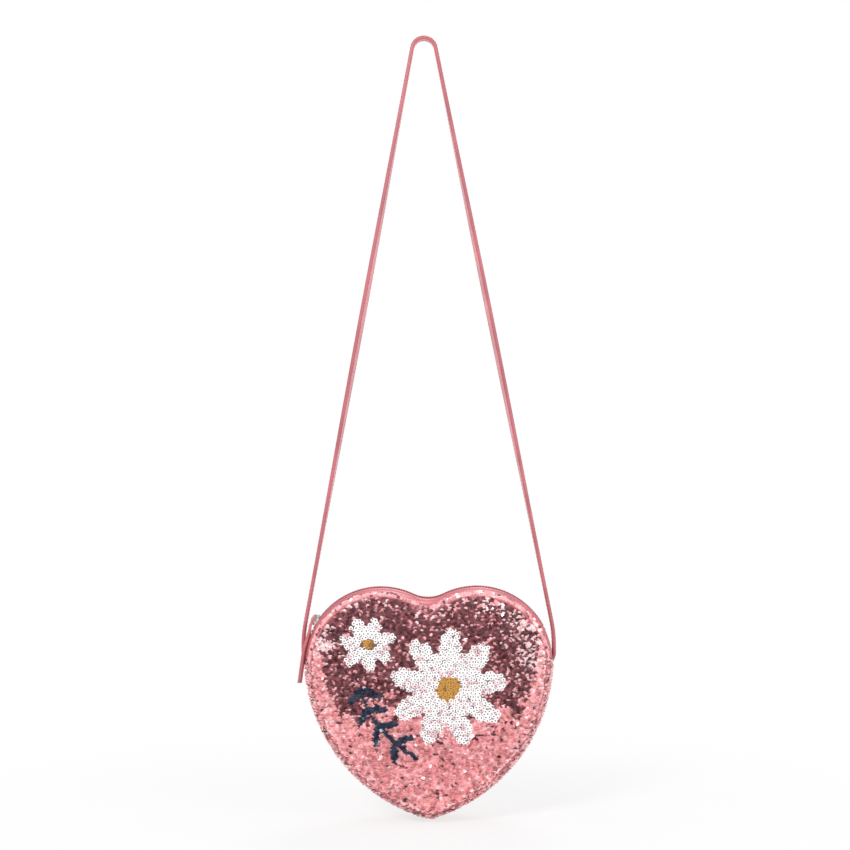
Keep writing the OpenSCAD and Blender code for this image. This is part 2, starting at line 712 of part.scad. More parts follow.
module zip_teeth_back() color(zip_rose) in_bag() to_back() tooth_row(tooth_pitch / 4);
module zip_closed_stops() color(metal_silver) in_bag() closed_stops();
module zip_open_stop() color(metal_silver) in_bag() open_stop();
module zip_end_tab_left() color(leatherette_rose) in_bag() end_tab(-1);
module zip_end_tab_right() color(leatherette_rose) in_bag() end_tab(1);
module slider() color(metal_silver) in_bag() slider_body();
module slider_under() color(metal_silver) in_bag() slider_lower_plate();
module pull() color(leatherette_rose) in_bag() pull_tab();
module strap_cover_right() color(leatherette_rose) in_bag() strap_cover(strap_first, bend_first);
module strap_cover_top() color(leatherette_rose) in_bag() strap_cover(bend_first, bend_last);
module strap_cover_left() color(leatherette_rose) in_bag() strap_cover(bend_last, strap_last);
module strap_filler() color(padding_white) in_bag() strap_core();
module strap_end_right() color(leatherette_rose) in_bag() strap_end();
module strap_end_left() color(leatherette_rose) in_bag() mirror([1, 0, 0]) strap_end();

front_panel();
front_padding();
front_lining();
front_piping();
front_seam_binding();
back_panel();
back_padding();
back_lining();
back_piping();
back_seam_binding();
lower_gusset();
lower_gusset_padding();
lower_gusset_lining();
zip_strip_front();
zip_strip_back();
zip_lining_front();
zip_lining_back();
zip_tape_front();
zip_tape_back();
zip_teeth_front();
zip_teeth_back();
zip_closed_stops();
zip_open_stop();
zip_end_tab_left();
zip_end_tab_right();
slider();  // slider_body
slider_under();  // slider_lower_plate
pull();  // pull_tab
strap_cover_left();
strap_cover_top();
strap_cover_right();
strap_filler();  // strap_core
strap_end_left();
strap_end_right();
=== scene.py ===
import json
import math

import bpy
import numpy as np
from bpy.props import FloatProperty, FloatVectorProperty, IntProperty, PointerProperty
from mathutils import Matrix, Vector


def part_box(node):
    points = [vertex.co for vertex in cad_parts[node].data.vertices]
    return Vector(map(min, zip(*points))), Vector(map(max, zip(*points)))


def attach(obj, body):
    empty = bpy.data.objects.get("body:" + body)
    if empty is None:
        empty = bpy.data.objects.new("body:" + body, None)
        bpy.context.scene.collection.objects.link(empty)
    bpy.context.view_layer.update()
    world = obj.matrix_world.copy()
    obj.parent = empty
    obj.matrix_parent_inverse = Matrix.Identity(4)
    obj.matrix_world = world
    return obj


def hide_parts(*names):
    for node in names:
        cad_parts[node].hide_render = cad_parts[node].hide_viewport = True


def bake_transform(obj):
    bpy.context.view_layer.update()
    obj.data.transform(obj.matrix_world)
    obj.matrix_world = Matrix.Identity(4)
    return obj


bl_info = {
    "name": "Heart shoulder bag",
    "version": (1, 0, 0),
    "blender": (4, 5, 0),
    "location": "View3D > Sidebar > Shoulder bag",
    "description": "Builds a child's heart-shaped sequin shoulder bag around its frame",
    "category": "Object",
}

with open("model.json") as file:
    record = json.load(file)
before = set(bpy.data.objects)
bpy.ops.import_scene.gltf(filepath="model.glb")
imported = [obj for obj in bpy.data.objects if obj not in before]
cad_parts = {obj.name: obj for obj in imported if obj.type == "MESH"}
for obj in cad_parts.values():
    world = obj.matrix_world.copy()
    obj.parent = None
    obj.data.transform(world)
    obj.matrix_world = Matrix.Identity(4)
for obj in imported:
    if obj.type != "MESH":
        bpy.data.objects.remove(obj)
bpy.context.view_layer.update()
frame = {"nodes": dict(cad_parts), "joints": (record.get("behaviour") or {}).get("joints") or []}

# Places that the frame gives, in metres
JOINTS = {j["name"]: j for j in frame["joints"]}
WIDEST_Z = JOINTS["slider_travel"]["pos_m"][2]
LOBE_X = -JOINTS["slider_travel"]["pos_m"][0]
FLEX_Z = JOINTS["bag_tilt"]["pos_m"][2]
BAIL = JOINTS["pull_lift"]["pos_m"]
BAND_LOW, BAND_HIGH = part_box("lower_gusset")
HALF_BAG = BAND_HIGH[0]
HALF_BAND = BAND_HIGH[1]
LOBE_R = HALF_BAG - LOBE_X
TIP_Z = BAND_LOW[2] - WIDEST_Z
STRAP_HALF_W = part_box("strap_end_left")[1][1]
MM = 0.001
SEED = 20
# The two panels and the way that each faces along Y
PANELS = (("front", -1), ("back", 1))


def linear(r, g, b):
    """A colour as it looks on a screen, 0 to 255, as the values that a shader takes."""
    def one(v):
        v = v / 255
        return v / 12.92 if v <= 0.04045 else ((v + 0.055) / 1.055) ** 2.4
    return (one(r), one(g), one(b))


def size(name, default, text):
    return FloatProperty(name=name, description=text, default=default, unit="LENGTH", precision=5)


def colour(name, default, text):
    return FloatVectorProperty(
        name=name, description=text, default=default, subtype="COLOR", size=3, min=0, max=1)


class BagSizes(bpy.types.PropertyGroup):
    """Sizes of the heart, its covers and its strap"""
    side_start: FloatProperty(
        name="Side start", description="Angle below the widest line where a lobe runs on into the side",
        default=math.radians(4), subtype="ANGLE")
    tip_r: size("Tip radius", 0.015, "Radius of the rounded tip")
    notch_r: size("Hollow radius", 0.027, "Radius of the hollow along the crest")
    cleft_r: size("Cleft radius", 0.0025, "Radius of the cleft along the panel seams")
    crown: size("Crown", 0.005, "How far the side band crowns out between its seams")
    cloth: size("Cloth", 0.0012, "Thickness of the sequinned cloth")
    piping_r: size("Piping radius", 0.0009, "Radius of the piping bead")
    zip_half: size("Zip half width", 0.0053, "From the middle of the zip to the edge of its strips")
    welt: size("Welt", 0.0048, "Width of each smooth fold beside the zip")
    strap_bend_r: size("Strap bend", 0.095, "Radius of the strap's bend beside the bag")
    strap_turn: FloatProperty(
        name="Strap turn", description="How far the strands turn their inner faces to the front",
        default=math.radians(15), subtype="ANGLE")


class SequinSizes(bpy.types.PropertyGroup):
    """Sizes and spacing of the sequins"""
    radius: size("Radius", 0.0015, "Radius of an overlapping sequin")
    thick: size("Thickness", 0.0001, "Thickness of a sequin")
    pitch: size("Pitch", 0.0022, "Distance between overlapping sequins in a row")
    row: size("Row", 0.0012, "Distance between overlapping rows")
    lean: FloatProperty(
        name="Lean", description="How far the lower edge of an overlapping sequin stands off",
        default=math.radians(24), subtype="ANGLE")
    spread: FloatProperty(
        name="Spread", description="How unevenly the overlapping sequins lie",
        default=math.radians(15), subtype="ANGLE")
    flower_radius: size("Flower radius", 0.00165, "Radius of a flower's flat sequin")
    hole: size("Hole", 0.0006, "Radius of the hole in a flower's sequin")
    flower_pitch: size("Flower pitch", 0.0029, "Distance between a flower's sequins")
    sides: IntProperty(name="Sides", description="Sides of a sequin's outline", default=7, min=6, max=16)


class BagColours(bpy.types.PropertyGroup):
    """Colours of the bag"""
    pink: colour("Pink", linear(255, 178, 181), "Light side of the sequins")
    dark: colour("Dark", linear(127, 71, 78), "Dark side of the sequins")
    white: colour("White", linear(253, 251, 252), "White sequins")
    navy: colour("Navy", linear(46, 58, 82), "Navy sequins")
    amber: colour("Amber", linear(212, 156, 62), "Amber sequins")
    leather: colour("Leatherette", linear(222, 143, 149), "Strap, pull and tabs")
    edge: colour("Leather edge", linear(184, 98, 106), "Folded edges of the strap and the pull")
    # painted shade: a darker copy of the leatherette for the folded edges, which turn away from the light
    piping: colour("Piping", linear(205, 112, 120), "Piping and folds beside the zip")
    tape: colour("Zip tape", linear(196, 110, 118), "Zip tape and teeth")
    lining: colour("Lining", linear(218, 158, 166), "Lining cloth")


def sizes():
    return bpy.context.scene.bag_sizes


def colours():
    return bpy.context.scene.bag_colours


def sequins():
    return bpy.context.scene.sequin_sizes


# The heart's outline. A station v runs 0..1 on the tip, 1..2 on the side, 2..4 on the lobe and
# 4..5 in the hollow, on the right half where it is positive and on the left where it is negative.
def crown_at(y):
    return sizes().crown * min(1, abs(y) / HALF_BAND) ** 2


def hollow_at(y):
    z = sizes()
    return z.notch_r + (z.cleft_r - z.notch_r) * min(1, abs(y) / HALF_BAND) ** 2


def hollow(y):
    """Height of the middle of the hollow's arc at depth y, and the angle where it meets the lobe's arc."""
    height = math.sqrt((LOBE_R - crown_at(y) + hollow_at(y)) ** 2 - LOBE_X ** 2)
    return height, math.atan2(height, -LOBE_X)


def arc_centres():
    """Centre and radius of the right side arc, and the angles where it meets the tip and the lobe."""
    z = sizes()
    tip_c = np.array([0, TIP_Z + z.tip_r])
    lobe_c = np.array([LOBE_X, 0])
    high = -z.side_start
    way = np.array([math.cos(high), math.sin(high)])
    across = lobe_c - tip_c
    reach = (across @ across - (LOBE_R - z.tip_r) ** 2) / (2 * (across @ way + LOBE_R - z.tip_r))
    c = lobe_c - reach * way
    low = math.atan2(*(tip_c - c)[::-1])
    return c, LOBE_R + reach, low, high


def heart(v, y, t, centres):
    """Point (x, z) of the heart at station v, depth y and t below the surface; z is from the widest line."""
    z = sizes()
    c, side_r, low, high = centres
    hollow_z, top = hollow(y)
    u = abs(v)
    e = crown_at(y) + t
    if u < 1:
        m, r, a = (0, TIP_Z + z.tip_r), z.tip_r - e, -math.pi / 2 + (low + math.pi / 2) * u
    elif u < 2:
        m, r, a = c, side_r - e, low + (high - low) * (u - 1)
    elif u < 4:
        m, r, a = (LOBE_X, 0), LOBE_R - e, high + (top - high) * (u - 2) / 2
    else:
        m, r, a = (0, hollow_z), hollow_at(y) + t, top - math.pi + (math.pi / 2 - top) * (u - 4)
    x = m[0] + r * math.cos(a)
    return (x if v >= 0 else -x), m[1] + r * math.sin(a)


def lengths_along(points):
    """How far along a line of points each of them lies."""
    return np.concatenate([[0], np.cumsum(np.linalg.norm(np.diff(points, axis=0), axis=1))])


def even_stations(first, last, step, y=0.0):
    """Stations from first to last at even lengths along the outline at depth y."""
    centres = arc_centres()
    fine = np.linspace(first, last, 900)
    pts = np.array([heart(v, y, 0, centres) for v in fine])
    run = lengths_along(pts)
    count = max(2, round(run[-1] / step) + 1)
    return np.interp(np.linspace(0, run[-1], count), run, fine)


def whole_round(step, y=0.0):
    """Stations once round the outline from the tip up the right side, over the hollow and down the left."""
    right = even_stations(0, 5, step, y)
    return np.concatenate([right, -right[-2:0:-1]])


def over_crest(right):
    """Stations from the right side over the hollow to the left one, from those of the right half."""
    return np.concatenate([right, -right[-2::-1]])


def station_at_height(height):
    """Station on the right lobe at a height above the widest line."""
    high, top = arc_centres()[3], hollow(0)[1]
    return 2 + 2 * (math.asin(height / LOBE_R) - high) / (top - high)


# Meshes
def make_object(name, points, faces, materials, slots=None, smooth=True):
    """A new object from points and faces; slots gives each face's material."""
    mesh = bpy.data.meshes.new(name)
    mesh.from_pydata(np.asarray(points).tolist(), [], faces)
    for m in materials:
        mesh.materials.append(m)
    if slots is not None:
        mesh.polygons.foreach_set("material_index", np.asarray(slots, np.int32))
    mesh.polygons.foreach_set("use_smooth", np.full(len(mesh.polygons), smooth))
    mesh.validate()
    mesh.update()
    obj = bpy.data.objects.new(name, mesh)
    bpy.context.scene.collection.objects.link(obj)
    return obj


def loft(loops, ring=False):
    """Points and quads through equal loops, which close into a ring or end in caps."""
    count, n = len(loops), len(loops[0])
    points = np.concatenate(loops)
    faces = []
    for i in range(count if ring else count - 1):
        a, b = i * n, (i + 1) % count * n
        for j in range(n):
            k = (j + 1) % n
            faces.append((a + j, a + k, b + k, b + j))
    if not ring:
        for j in range(n // 2 - 1):
            faces.append((j + 1, j, n - 1 - j, n - 2 - j))
            e = (count - 1) * n
            faces.append((e + j, e + j + 1, e + n - 2 - j, e + n - 1 - j))
    return points, faces


def face_out(obj):
    """Turns a closed mesh's faces outward."""
    mesh = obj.data
    mesh.calc_loop_triangles()
    co = np.array([v.co for v in mesh.vertices])
    tri = np.array([t.vertices for t in mesh.loop_triangles])
    volume = np.einsum("ij,ij->i", co[tri[:, 0]], np.cross(co[tri[:, 1]], co[tri[:, 2]])).sum()
    if volume < 0:
        mesh.flip_normals()
    return obj


def units(rows):
    """Each row at length 1."""
    return rows / np.linalg.norm(rows, axis=1)[:, None]


def square_to(rows, axes):
    """Each row without its share along its own axis of length 1."""
    return rows - axes * np.einsum("ij,ij->i", rows, axes)[:, None]


def settle(obj, body, slot, *nodes):
    """A piece moves with a body and stands for some of the frame's nodes, which it hides; slot is not used.
    """
    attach(obj, body)
    if nodes:
        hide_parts(*nodes)
    return obj


# Materials
def blank(name, **values):
    """A new material, its nodes and its shader, with values for the shader's own sockets."""
    m = bpy.data.materials.new(name)
    m.use_nodes = True
    shader = m.node_tree.nodes["Principled BSDF"]
    for key, value in values.items():
        shader.inputs[key.replace("_", " ")].default_value = value
    return m, m.node_tree, shader


def node(tree, kind, **values):
    """A new node, with values for its own settings, and values or links for its sockets."""
    n = tree.nodes.new(kind)
    for key, value in values.items():
        if hasattr(n, key):
            setattr(n, key, value)
        elif isinstance(value, bpy.types.NodeSocket):
            tree.links.new(value, n.inputs[key.replace("_", " ")])
        else:
            n.inputs[key.replace("_", " ")].default_value = value
    return n


def object_space(tree):
    """Each point's place in its own piece."""
    return tree.nodes.new("ShaderNodeTexCoord").outputs["Object"]


def pattern(tree, kind, **values):
    """A texture that stays with its piece."""
    return node(tree, kind, Vector=object_space(tree), **values)


def combined(tree, operation, *sources):
    """What a maths node makes of its sources."""
    n = node(tree, "ShaderNodeMath", operation=operation)
    for source, socket in zip(sources, n.inputs):
        tree.links.new(source, socket)
    return n.outputs[0]


def two_tone(tree, shader, low, high, source, start=0.35, end=0.65):
    """Colours a surface between two tones by a pattern."""
    ramp = node(tree, "ShaderNodeValToRGB", Fac=source)
    for stop, place, tone in zip(ramp.color_ramp.elements, (start, end), (low, high)):
        stop.position = place
        stop.color = (*tone, 1)
    tree.links.new(ramp.outputs["Color"], shader.inputs["Base Color"])


def bump(tree, shader, source, strength, distance):
    """Raises a surface by a pattern."""
    n = node(tree, "ShaderNodeBump", Strength=strength, Distance=distance, Height=source)
    tree.links.new(n.outputs["Normal"], shader.inputs["Normal"])


def shade(c, k):
    """A colour k times as bright."""
    return tuple(min(1, v * k) for v in c)


def foil(name, c, metallic=0.4, roughness=0.3):
    """Sequin foil: one plain glossy colour, because each sequin is a single flat stamping."""
    return blank(
        name, Base_Color=(*c, 1), Metallic=metallic, Roughness=roughness, Coat_Weight=0.3,
        Coat_Roughness=0.12)[0]


def leatherette(name, c, grain=900):
    """Grained leatherette, slightly clouded under a thin gloss."""
    m, tree, shader = blank(name, Roughness=0.42, Coat_Weight=0.12, Coat_Roughness=0.3)
    cells = pattern(tree, "ShaderNodeTexVoronoi", Scale=grain, feature="SMOOTH_F1")
    cloud = pattern(tree, "ShaderNodeTexNoise", Scale=38, Detail=5)
    two_tone(tree, shader, shade(c, 0.84), shade(c, 1.12), cloud.outputs["Fac"])
    bump(tree, shader, cells.outputs["Distance"], 0.35, 0.0002)
    return m


def woven(name, c, pitch=0.00055, rough=0.85):
    """Plain weave: two crossed sets of threads, coloured darker where the weave lies low as painted shade."""
    m, tree, shader = blank(name, Roughness=rough, Sheen_Weight=0.25)
    threads = [
        pattern(tree, "ShaderNodeTexWave", Scale=0.314 / pitch, bands_direction=axis, Distortion=0.6)
        for axis in ("X", "Z")]
    crossed = combined(tree, "MULTIPLY", *[t.outputs["Fac"] for t in threads])
    two_tone(tree, shader, shade(c, 0.7), shade(c, 1.08), crossed, 0.0, 0.7)
    bump(tree, shader, crossed, 0.5, 0.0002)
    return m


def ribbed_tape(name, c):
    """Zip tape: fine ribs along its length, so across Y, coloured darker in the grooves as painted shade."""
    m, tree, shader = blank(name, Roughness=0.75, Sheen_Weight=0.2)
    ribs = pattern(tree, "ShaderNodeTexWave", Scale=520, bands_direction="Y", Distortion=0.3)
    two_tone(tree, shader, shade(c, 0.72), shade(c, 1.1), ribs.outputs["Fac"], 0.1, 0.9)
    bump(tree, shader, ribs.outputs["Fac"], 0.5, 0.0002)
    return m


def moulded(name, c):
    """Moulded zip teeth: satin plastic with slight clouding."""
    m, tree, shader = blank(name, Roughness=0.38)
    cloud = pattern(tree, "ShaderNodeTexNoise", Scale=240, Detail=3)
    two_tone(tree, shader, shade(c, 0.88), shade(c, 1.1), cloud.outputs["Fac"])
    return m


def plated(name):
    """Silvered zip metal: bright, with fine blotches that vary its roughness, and dark ones in its colour as
    painted reflection.
    """
    m, tree, shader = blank(name, Metallic=1)
    painted_reflection_blotches = pattern(tree, "ShaderNodeTexNoise", Scale=700, Detail=6, Distortion=1.5)
    two_tone(tree, shader, (0.2, 0.19, 0.18), (0.78, 0.77, 0.75), painted_reflection_blotches.outputs["Fac"])
    rough = node(tree, "ShaderNodeMapRange", To_Min=0.12, To_Max=0.34, Value=painted_reflection_blotches.outputs["Fac"])
    tree.links.new(rough.outputs["Result"], shader.inputs["Roughness"])
    return m


def fluffy(name):
    """White wadding: matt, with soft clumps, coloured darker in the hollows between them as painted shade."""
    m, tree, shader = blank(name, Roughness=0.95, Sheen_Weight=0.4)
    clump = pattern(tree, "ShaderNodeTexNoise", Scale=160, Detail=8, Roughness=0.7)
    two_tone(tree, shader, (0.66, 0.65, 0.63), (0.86, 0.85, 0.83), clump.outputs["Fac"])
    bump(tree, shader, clump.outputs["Fac"], 0.6, 0.0008)
    return m


made = {}


def material(name):
    """The bag's materials by name, each made once."""
    c = colours()
    finishes = {
        # painted shade: the pink backing cloth is darkened well below the pink, so that the gaps between
        # sequins and the holes in the flowers' sequins look shaded
        "backing_cloth": (woven, shade(c.pink, 0.27)),
        "piping": (leatherette, c.piping, 1100),
        "leatherette": (leatherette, c.leather),
        "leather_edge": (leatherette, c.edge),
        "lining": (woven, c.lining),
        "binding": (woven, shade(c.lining, 0.85), 0.0008),
        "wadding": (fluffy,),
        "zip_tape": (ribbed_tape, c.tape),
        "zip_teeth": (moulded, c.tape),
        "silvered_metal": (plated,),
        "thread": (woven, shade(c.leather, 1.15), 0.0003, 0.6),
    }
    if name not in made:
        make, *values = finishes[name]
        made[name] = make(name, *values)
    return made[name]


# Sequin colours: a few stampings of each colour differ a little, and one near-white colour is a painted
# highlight
FOILS = ["pink_light", "pink", "pink_deep", "glint", "dark_light", "dark", "dark_deep",
         "white", "white_shade", "navy", "amber", "amber_shade"]


def foil_materials():
    c = colours()
    stampings = {
        "pink_light": (shade(c.pink, 1.18),), "pink": (c.pink,), "pink_deep": (shade(c.pink, 0.78),),
        # painted highlight: a near-white pink foil for sequins that stand in for glints of light
        "glint": (linear(255, 228, 230), 0.4, 0.2),
        "dark_light": (shade(c.dark, 1.5),), "dark": (c.dark,), "dark_deep": (shade(c.dark, 0.6),),
        "white": (c.white, 0.0, 0.4), "white_shade": (linear(236, 206, 210), 0.0, 0.4),
        "navy": (c.navy, 0.3), "amber": (c.amber, 0.3), "amber_shade": (shade(c.amber, 0.6), 0.3),
    }
    for name in FOILS:
        if name not in made:
            made[name] = foil("sequin_" + name, *stampings[name])
    return [made[name] for name in FOILS]


NOISE_CELLS = 64


def value_noise(x, z, cell, seed):
    """Smooth noise from 0 to 1 over a plane, with features about one cell wide."""
    table = np.random.default_rng(seed).random((NOISE_CELLS, NOISE_CELLS))
    gx, gz = x / cell + 31.3, z / cell + 31.7
    ix, iz = np.floor(gx).astype(int), np.floor(gz).astype(int)
    fx, fz = gx - ix, gz - iz
    fx, fz = fx * fx * (3 - 2 * fx), fz * fz * (3 - 2 * fz)

    def at(i, j):
        return table[i % NOISE_CELLS, j % NOISE_CELLS]
    low = at(ix, iz) * (1 - fx) + at(ix + 1, iz) * fx
    high = at(ix, iz + 1) * (1 - fx) + at(ix + 1, iz + 1) * fx
    return low * (1 - fz) + high * fz


def sequin_mesh(name, centres, normals, downs, slots, seed, flat=False):
    """One mesh of closed sequin discs: flat ones with holes, or overlapping ones that lean out below."""
    q = sequins()
    n, count = q.sides, len(centres)
    rng = np.random.default_rng(seed)
    normals = units(normals)
    downs = units(square_to(downs, normals))
    radius = q.flower_radius if flat else q.radius
    if flat:
        lean, spread = rng.uniform(0, 0.3, count), np.full(count, math.radians(3))
    else:
        lean = q.lean * rng.uniform(0.5, 1.4, count)
        spread = q.spread * rng.choice([0.6, 1.0, 2.0], count, p=[0.45, 0.35, 0.2])
    face = normals * np.cos(lean)[:, None] + downs * np.sin(lean)[:, None]
    side = np.cross(normals, downs)
    wobble = rng.normal(0, 1, (count, 2)) * spread[:, None]
    face = units(face + downs * wobble[:, :1] + side * wobble[:, 1:])
    ax = units(square_to(downs, face))
    ay = np.cross(face, ax)
    angles = np.arange(n) * 2 * math.pi / n + math.pi / n
    levels = [(radius, q.thick), (radius, 0)]
    if flat:
        levels = [(radius, q.thick), (q.hole, q.thick), (q.hole, 0), (radius, 0)]
    rings = np.array([(r * math.cos(a), r * math.sin(a), h) for r, h in levels for a in angles])
    tip = np.abs(np.einsum("ij,ij->i", ax, normals))
    base = centres + normals * (radius * 0.5 * tip + q.thick)[:, None]
    pts = (base[:, None, :] + ax[:, None, :] * rings[None, :, :1]
           + ay[:, None, :] * rings[None, :, 1:2] + face[:, None, :] * rings[None, :, 2:])
    faces = []
    for r in range(len(levels) if flat else 1):
        a, b = r * n, (r + 1) % len(levels) * n
        for k in range(n):
            faces.append((b + k, b + (k + 1) % n, a + (k + 1) % n, a + k))
    if not flat:
        faces.append(tuple(range(n)))
        faces.append(tuple(range(2 * n - 1, n - 1, -1)))
    every, per = len(levels) * n, len(faces)
    whole = [tuple(i * every + c for c in f) for i in range(count) for f in faces]
    obj = make_object(name, pts.reshape(-1, 3), whole, foil_materials(), np.repeat(slots, per), False)
    return settle(obj, "bag", "sequin_cloth")


# Panels
# How squarely a panel's dome falls off at its rim, and the height of its middle from the widest line
DOME_POWER = 3
PANEL_MID = -LOBE_R / 6


class PanelShape:
    """A panel's outline round its middle, for placing points by share and by height."""

    def __init__(self, inset):
        centres = arc_centres()
        self.stations = whole_round(2.2 * MM, HALF_BAND)
        self.rim = np.array([heart(v, HALF_BAND, inset, centres) for v in self.stations])
        rel = self.rim - np.array([0, PANEL_MID])
        angles = np.arctan2(rel[:, 1], rel[:, 0])
        order = np.argsort(angles)
        self.angles, self.radii = angles[order], np.linalg.norm(rel, axis=1)[order]

    def share(self, x, z):
        """0 at the panel's middle and 1 on its rim."""
        r = np.hypot(x, z - PANEL_MID)
        a = np.arctan2(z - PANEL_MID, x)
        return r / np.interp(a, self.angles, self.radii, period=2 * math.pi)

    def depth(self, x, z, rim, middle):
        """How far the cover stands out from the seam plane, with the soft unevenness of its wadding."""
        s = np.clip(self.share(x, z), 0, 1)
        dome = np.sqrt(1 - s ** DOME_POWER)
        soft = (value_noise(x, z, 22 * MM, 4) - 0.5) * 1.1 * MM * (1 - s ** 4)
        return rim + (middle - rim) * dome + soft


def panel_solid(name, shape, side, inner, outer, finish, slot, node, steps=22):
    """A domed layer of a panel between two depths, closed round its rim. side is -1 for the front."""
    shares = [math.sin(math.pi / 2 * (1 - k / steps)) for k in range(steps)]
    n = len(shape.rim)
    rows_out, rows_in = [], []
    for s in shares:
        x = shape.rim[:, 0] * s
        z = PANEL_MID + (shape.rim[:, 1] - PANEL_MID) * s
        for rows, d in ((rows_out, outer), (rows_in, inner)):
            y = HALF_BAND + shape.depth(x, z, *d)
            rows.append(np.column_stack([x, side * y, z + WIDEST_Z]))
    middle = np.zeros(1), np.full(1, PANEL_MID)
    tops = [
        (0, side * (HALF_BAND + shape.depth(*middle, *d)[0]), PANEL_MID + WIDEST_Z) for d in (outer, inner)]
    points = np.concatenate(rows_out + rows_in + [np.array(tops)])
    m = len(shares)
    faces = []
    for k in (0, m * n):
        for i in range(m - 1):
            for j in range(n):
                a, b = k + i * n + j, k + i * n + (j + 1) % n
                quad = (a, b, b + n, a + n)
                faces.append(quad if k else quad[::-1])
    for j in range(n):
        b = (j + 1) % n
        faces.append((j, b, m * n + b, m * n + j))
        faces.append(((m - 1) * n + b, (m - 1) * n + j, 2 * m * n))
        faces.append((m * n + (m - 1) * n + j, m * n + (m - 1) * n + b, 2 * m * n + 1))
    return settle(face_out(make_object(name, points, faces, [material(finish)])), "bag", slot, node)


def layer_depths():
    """How far the lining, the wadding and the cover stand out, as the frame's nodes give it."""
    return {layer: -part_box("front_" + layer)[0][1] - HALF_BAND for layer in ("lining", "padding", "panel")}


class PanelCovers(bpy.types.Operator):
    """Outer cloth of the front and back panels, domed over their wadding"""
    bl_idname = "bag.panel_covers"
    bl_label = "Panel covers"

    def execute(self, context):
        z = sizes()
        shape = PanelShape(z.piping_r + 0.2 * MM)
        low, high = cover_depths()
        for name, side in PANELS:
            panel_solid(
                name + "_cover", shape, side, (low - z.cloth, high - z.cloth), (low, high), "backing_cloth",
                "sequin_cloth", name + "_panel")
        return {"FINISHED"}


class Wadding(bpy.types.Operator):
    """Soft wadding inside the front and back panels"""
    bl_idname = "bag.wadding"
    bl_label = "Wadding"

    def execute(self, context):
        shape = PanelShape(sizes().piping_r + 0.6 * MM)
        d = layer_depths()
        for name, side in PANELS:
            pad = panel_solid(
                name + "_wadding", shape, side, (0.9 * MM, d["lining"] + 0.2 * MM),
                (1.2 * MM, d["padding"] - 0.7 * MM), "wadding", "wadding", name + "_padding", 14)
        return {"FINISHED"}


# The picture on the front: a large and a small daisy and a sprig of leaves, in the sequins' own grid
DAISY = (0.014, -0.016)
DAISY_R = 0.042
DAISY_PETALS = 9
SMALL_DAISY = (-0.044, 0.016)
SMALL_R = 0.02
SMALL_PETALS = 7
SPRIG = [(-0.048, -0.016), (-0.045, -0.030), (-0.037, -0.043), (-0.025, -0.055), (-0.010, -0.066)]
LEAF_L = 0.0075
STEM_HALF_W = 1.3 * MM


def in_oval(x, z, start, way, far, long, wide):
    """True inside an oval along a way of length 1, whose middle lies far along it from a start."""
    dx, dz = x - start[0], z - start[1]
    along = dx * way[0] + dz * way[1] - far
    across = dz * way[0] - dx * way[1]
    return (along / long) ** 2 + (across / wide) ** 2 < 1


def in_daisy(x, z, middle, radius, petals, turn):
    """1 on the petals and 2 on the eye of a daisy."""
    found = np.zeros(len(x), int)
    wide = 0.57 * radius * math.sin(math.pi / petals)
    for k in range(petals):
        a = turn + 2 * math.pi * k / petals
        found[in_oval(x, z, middle, (math.cos(a), math.sin(a)), 0.6 * radius, 0.42 * radius, wide)] = 1
    found[np.hypot(x - middle[0], z - middle[1]) < 0.2 * radius] = 2
    return found


def on_sprig(x, z):
    """True on the stem and the leaves of the sprig."""
    found = np.zeros(len(x), bool)
    pts = np.array(SPRIG)
    for i in range(len(pts) - 1):
        a, b = pts[i], pts[i + 1]
        d = b - a
        t = np.clip(((x - a[0]) * d[0] + (z - a[1]) * d[1]) / (d @ d), 0, 1)
        found |= np.hypot(x - a[0] - t * d[0], z - a[1] - t * d[1]) < STEM_HALF_W
        u = d / np.linalg.norm(d)
        for side in (-1, 1):
            leaf = u * 0.6 + side * np.array([-u[1], u[0]]) * 0.8
            leaf /= np.linalg.norm(leaf)
            found |= in_oval(x, z, a, leaf, LEAF_L, LEAF_L, 0.36 * LEAF_L)
    return found


# Height above the widest line where the sequins change from their dark side to their pink one, how
# softly they do, and the cell, seed and weight of each noise that breaks up that edge
EDGE_Z = -0.032
EDGE_SOFT = 10 * MM
EDGE_NOISES = [(7 * MM, 7, 2.6), (2.6 * MM, 8, 2.0)]
# Where the pink side shows again towards the rim, as a share of the way there, and how soon it is full
RIM_FROM, RIM_SPAN = 0.86, 0.08
# Share of the dark sequins that lie turned over one by one
TURNED_OVER = 0.13
# Where pale sequins are set as painted highlights, for folds of the cloth that catch the light: x, height
# above the widest line and reach
PAINTED_GLINT_SPOTS = [(-0.077, 0.018, 0.011), (0.068, 0.028, 0.012), (0.075, 0.006, 0.010), (0.040, 0.047, 0.008)]
# How near the sequins come to the piping, as a share of the way from the panel's middle to its rim
NEAR_PIPING = 0.997
# Share of the flowers' sequins that are a shade darker
SHADED = 0.15
# Shares of the sequins of a colour that are a shade lighter, and that are a shade darker
LIGHTER, DARKER = 0.3, 0.3


def in_flowers(x, z):
    """1 on a petal, 2 on an eye and 0 elsewhere."""
    small = in_daisy(x, z, SMALL_DAISY, SMALL_R, SMALL_PETALS, 0.3)
    large = in_daisy(x, z, DAISY, DAISY_R, DAISY_PETALS, 0.12)
    return np.where(large > 0, large, small)


def varied(names, pick):
    """Colours, some of them a shade lighter and some a shade darker."""
    return names + np.where(pick < LIGHTER, -1, np.where(pick > 1 - DARKER, 1, 0))


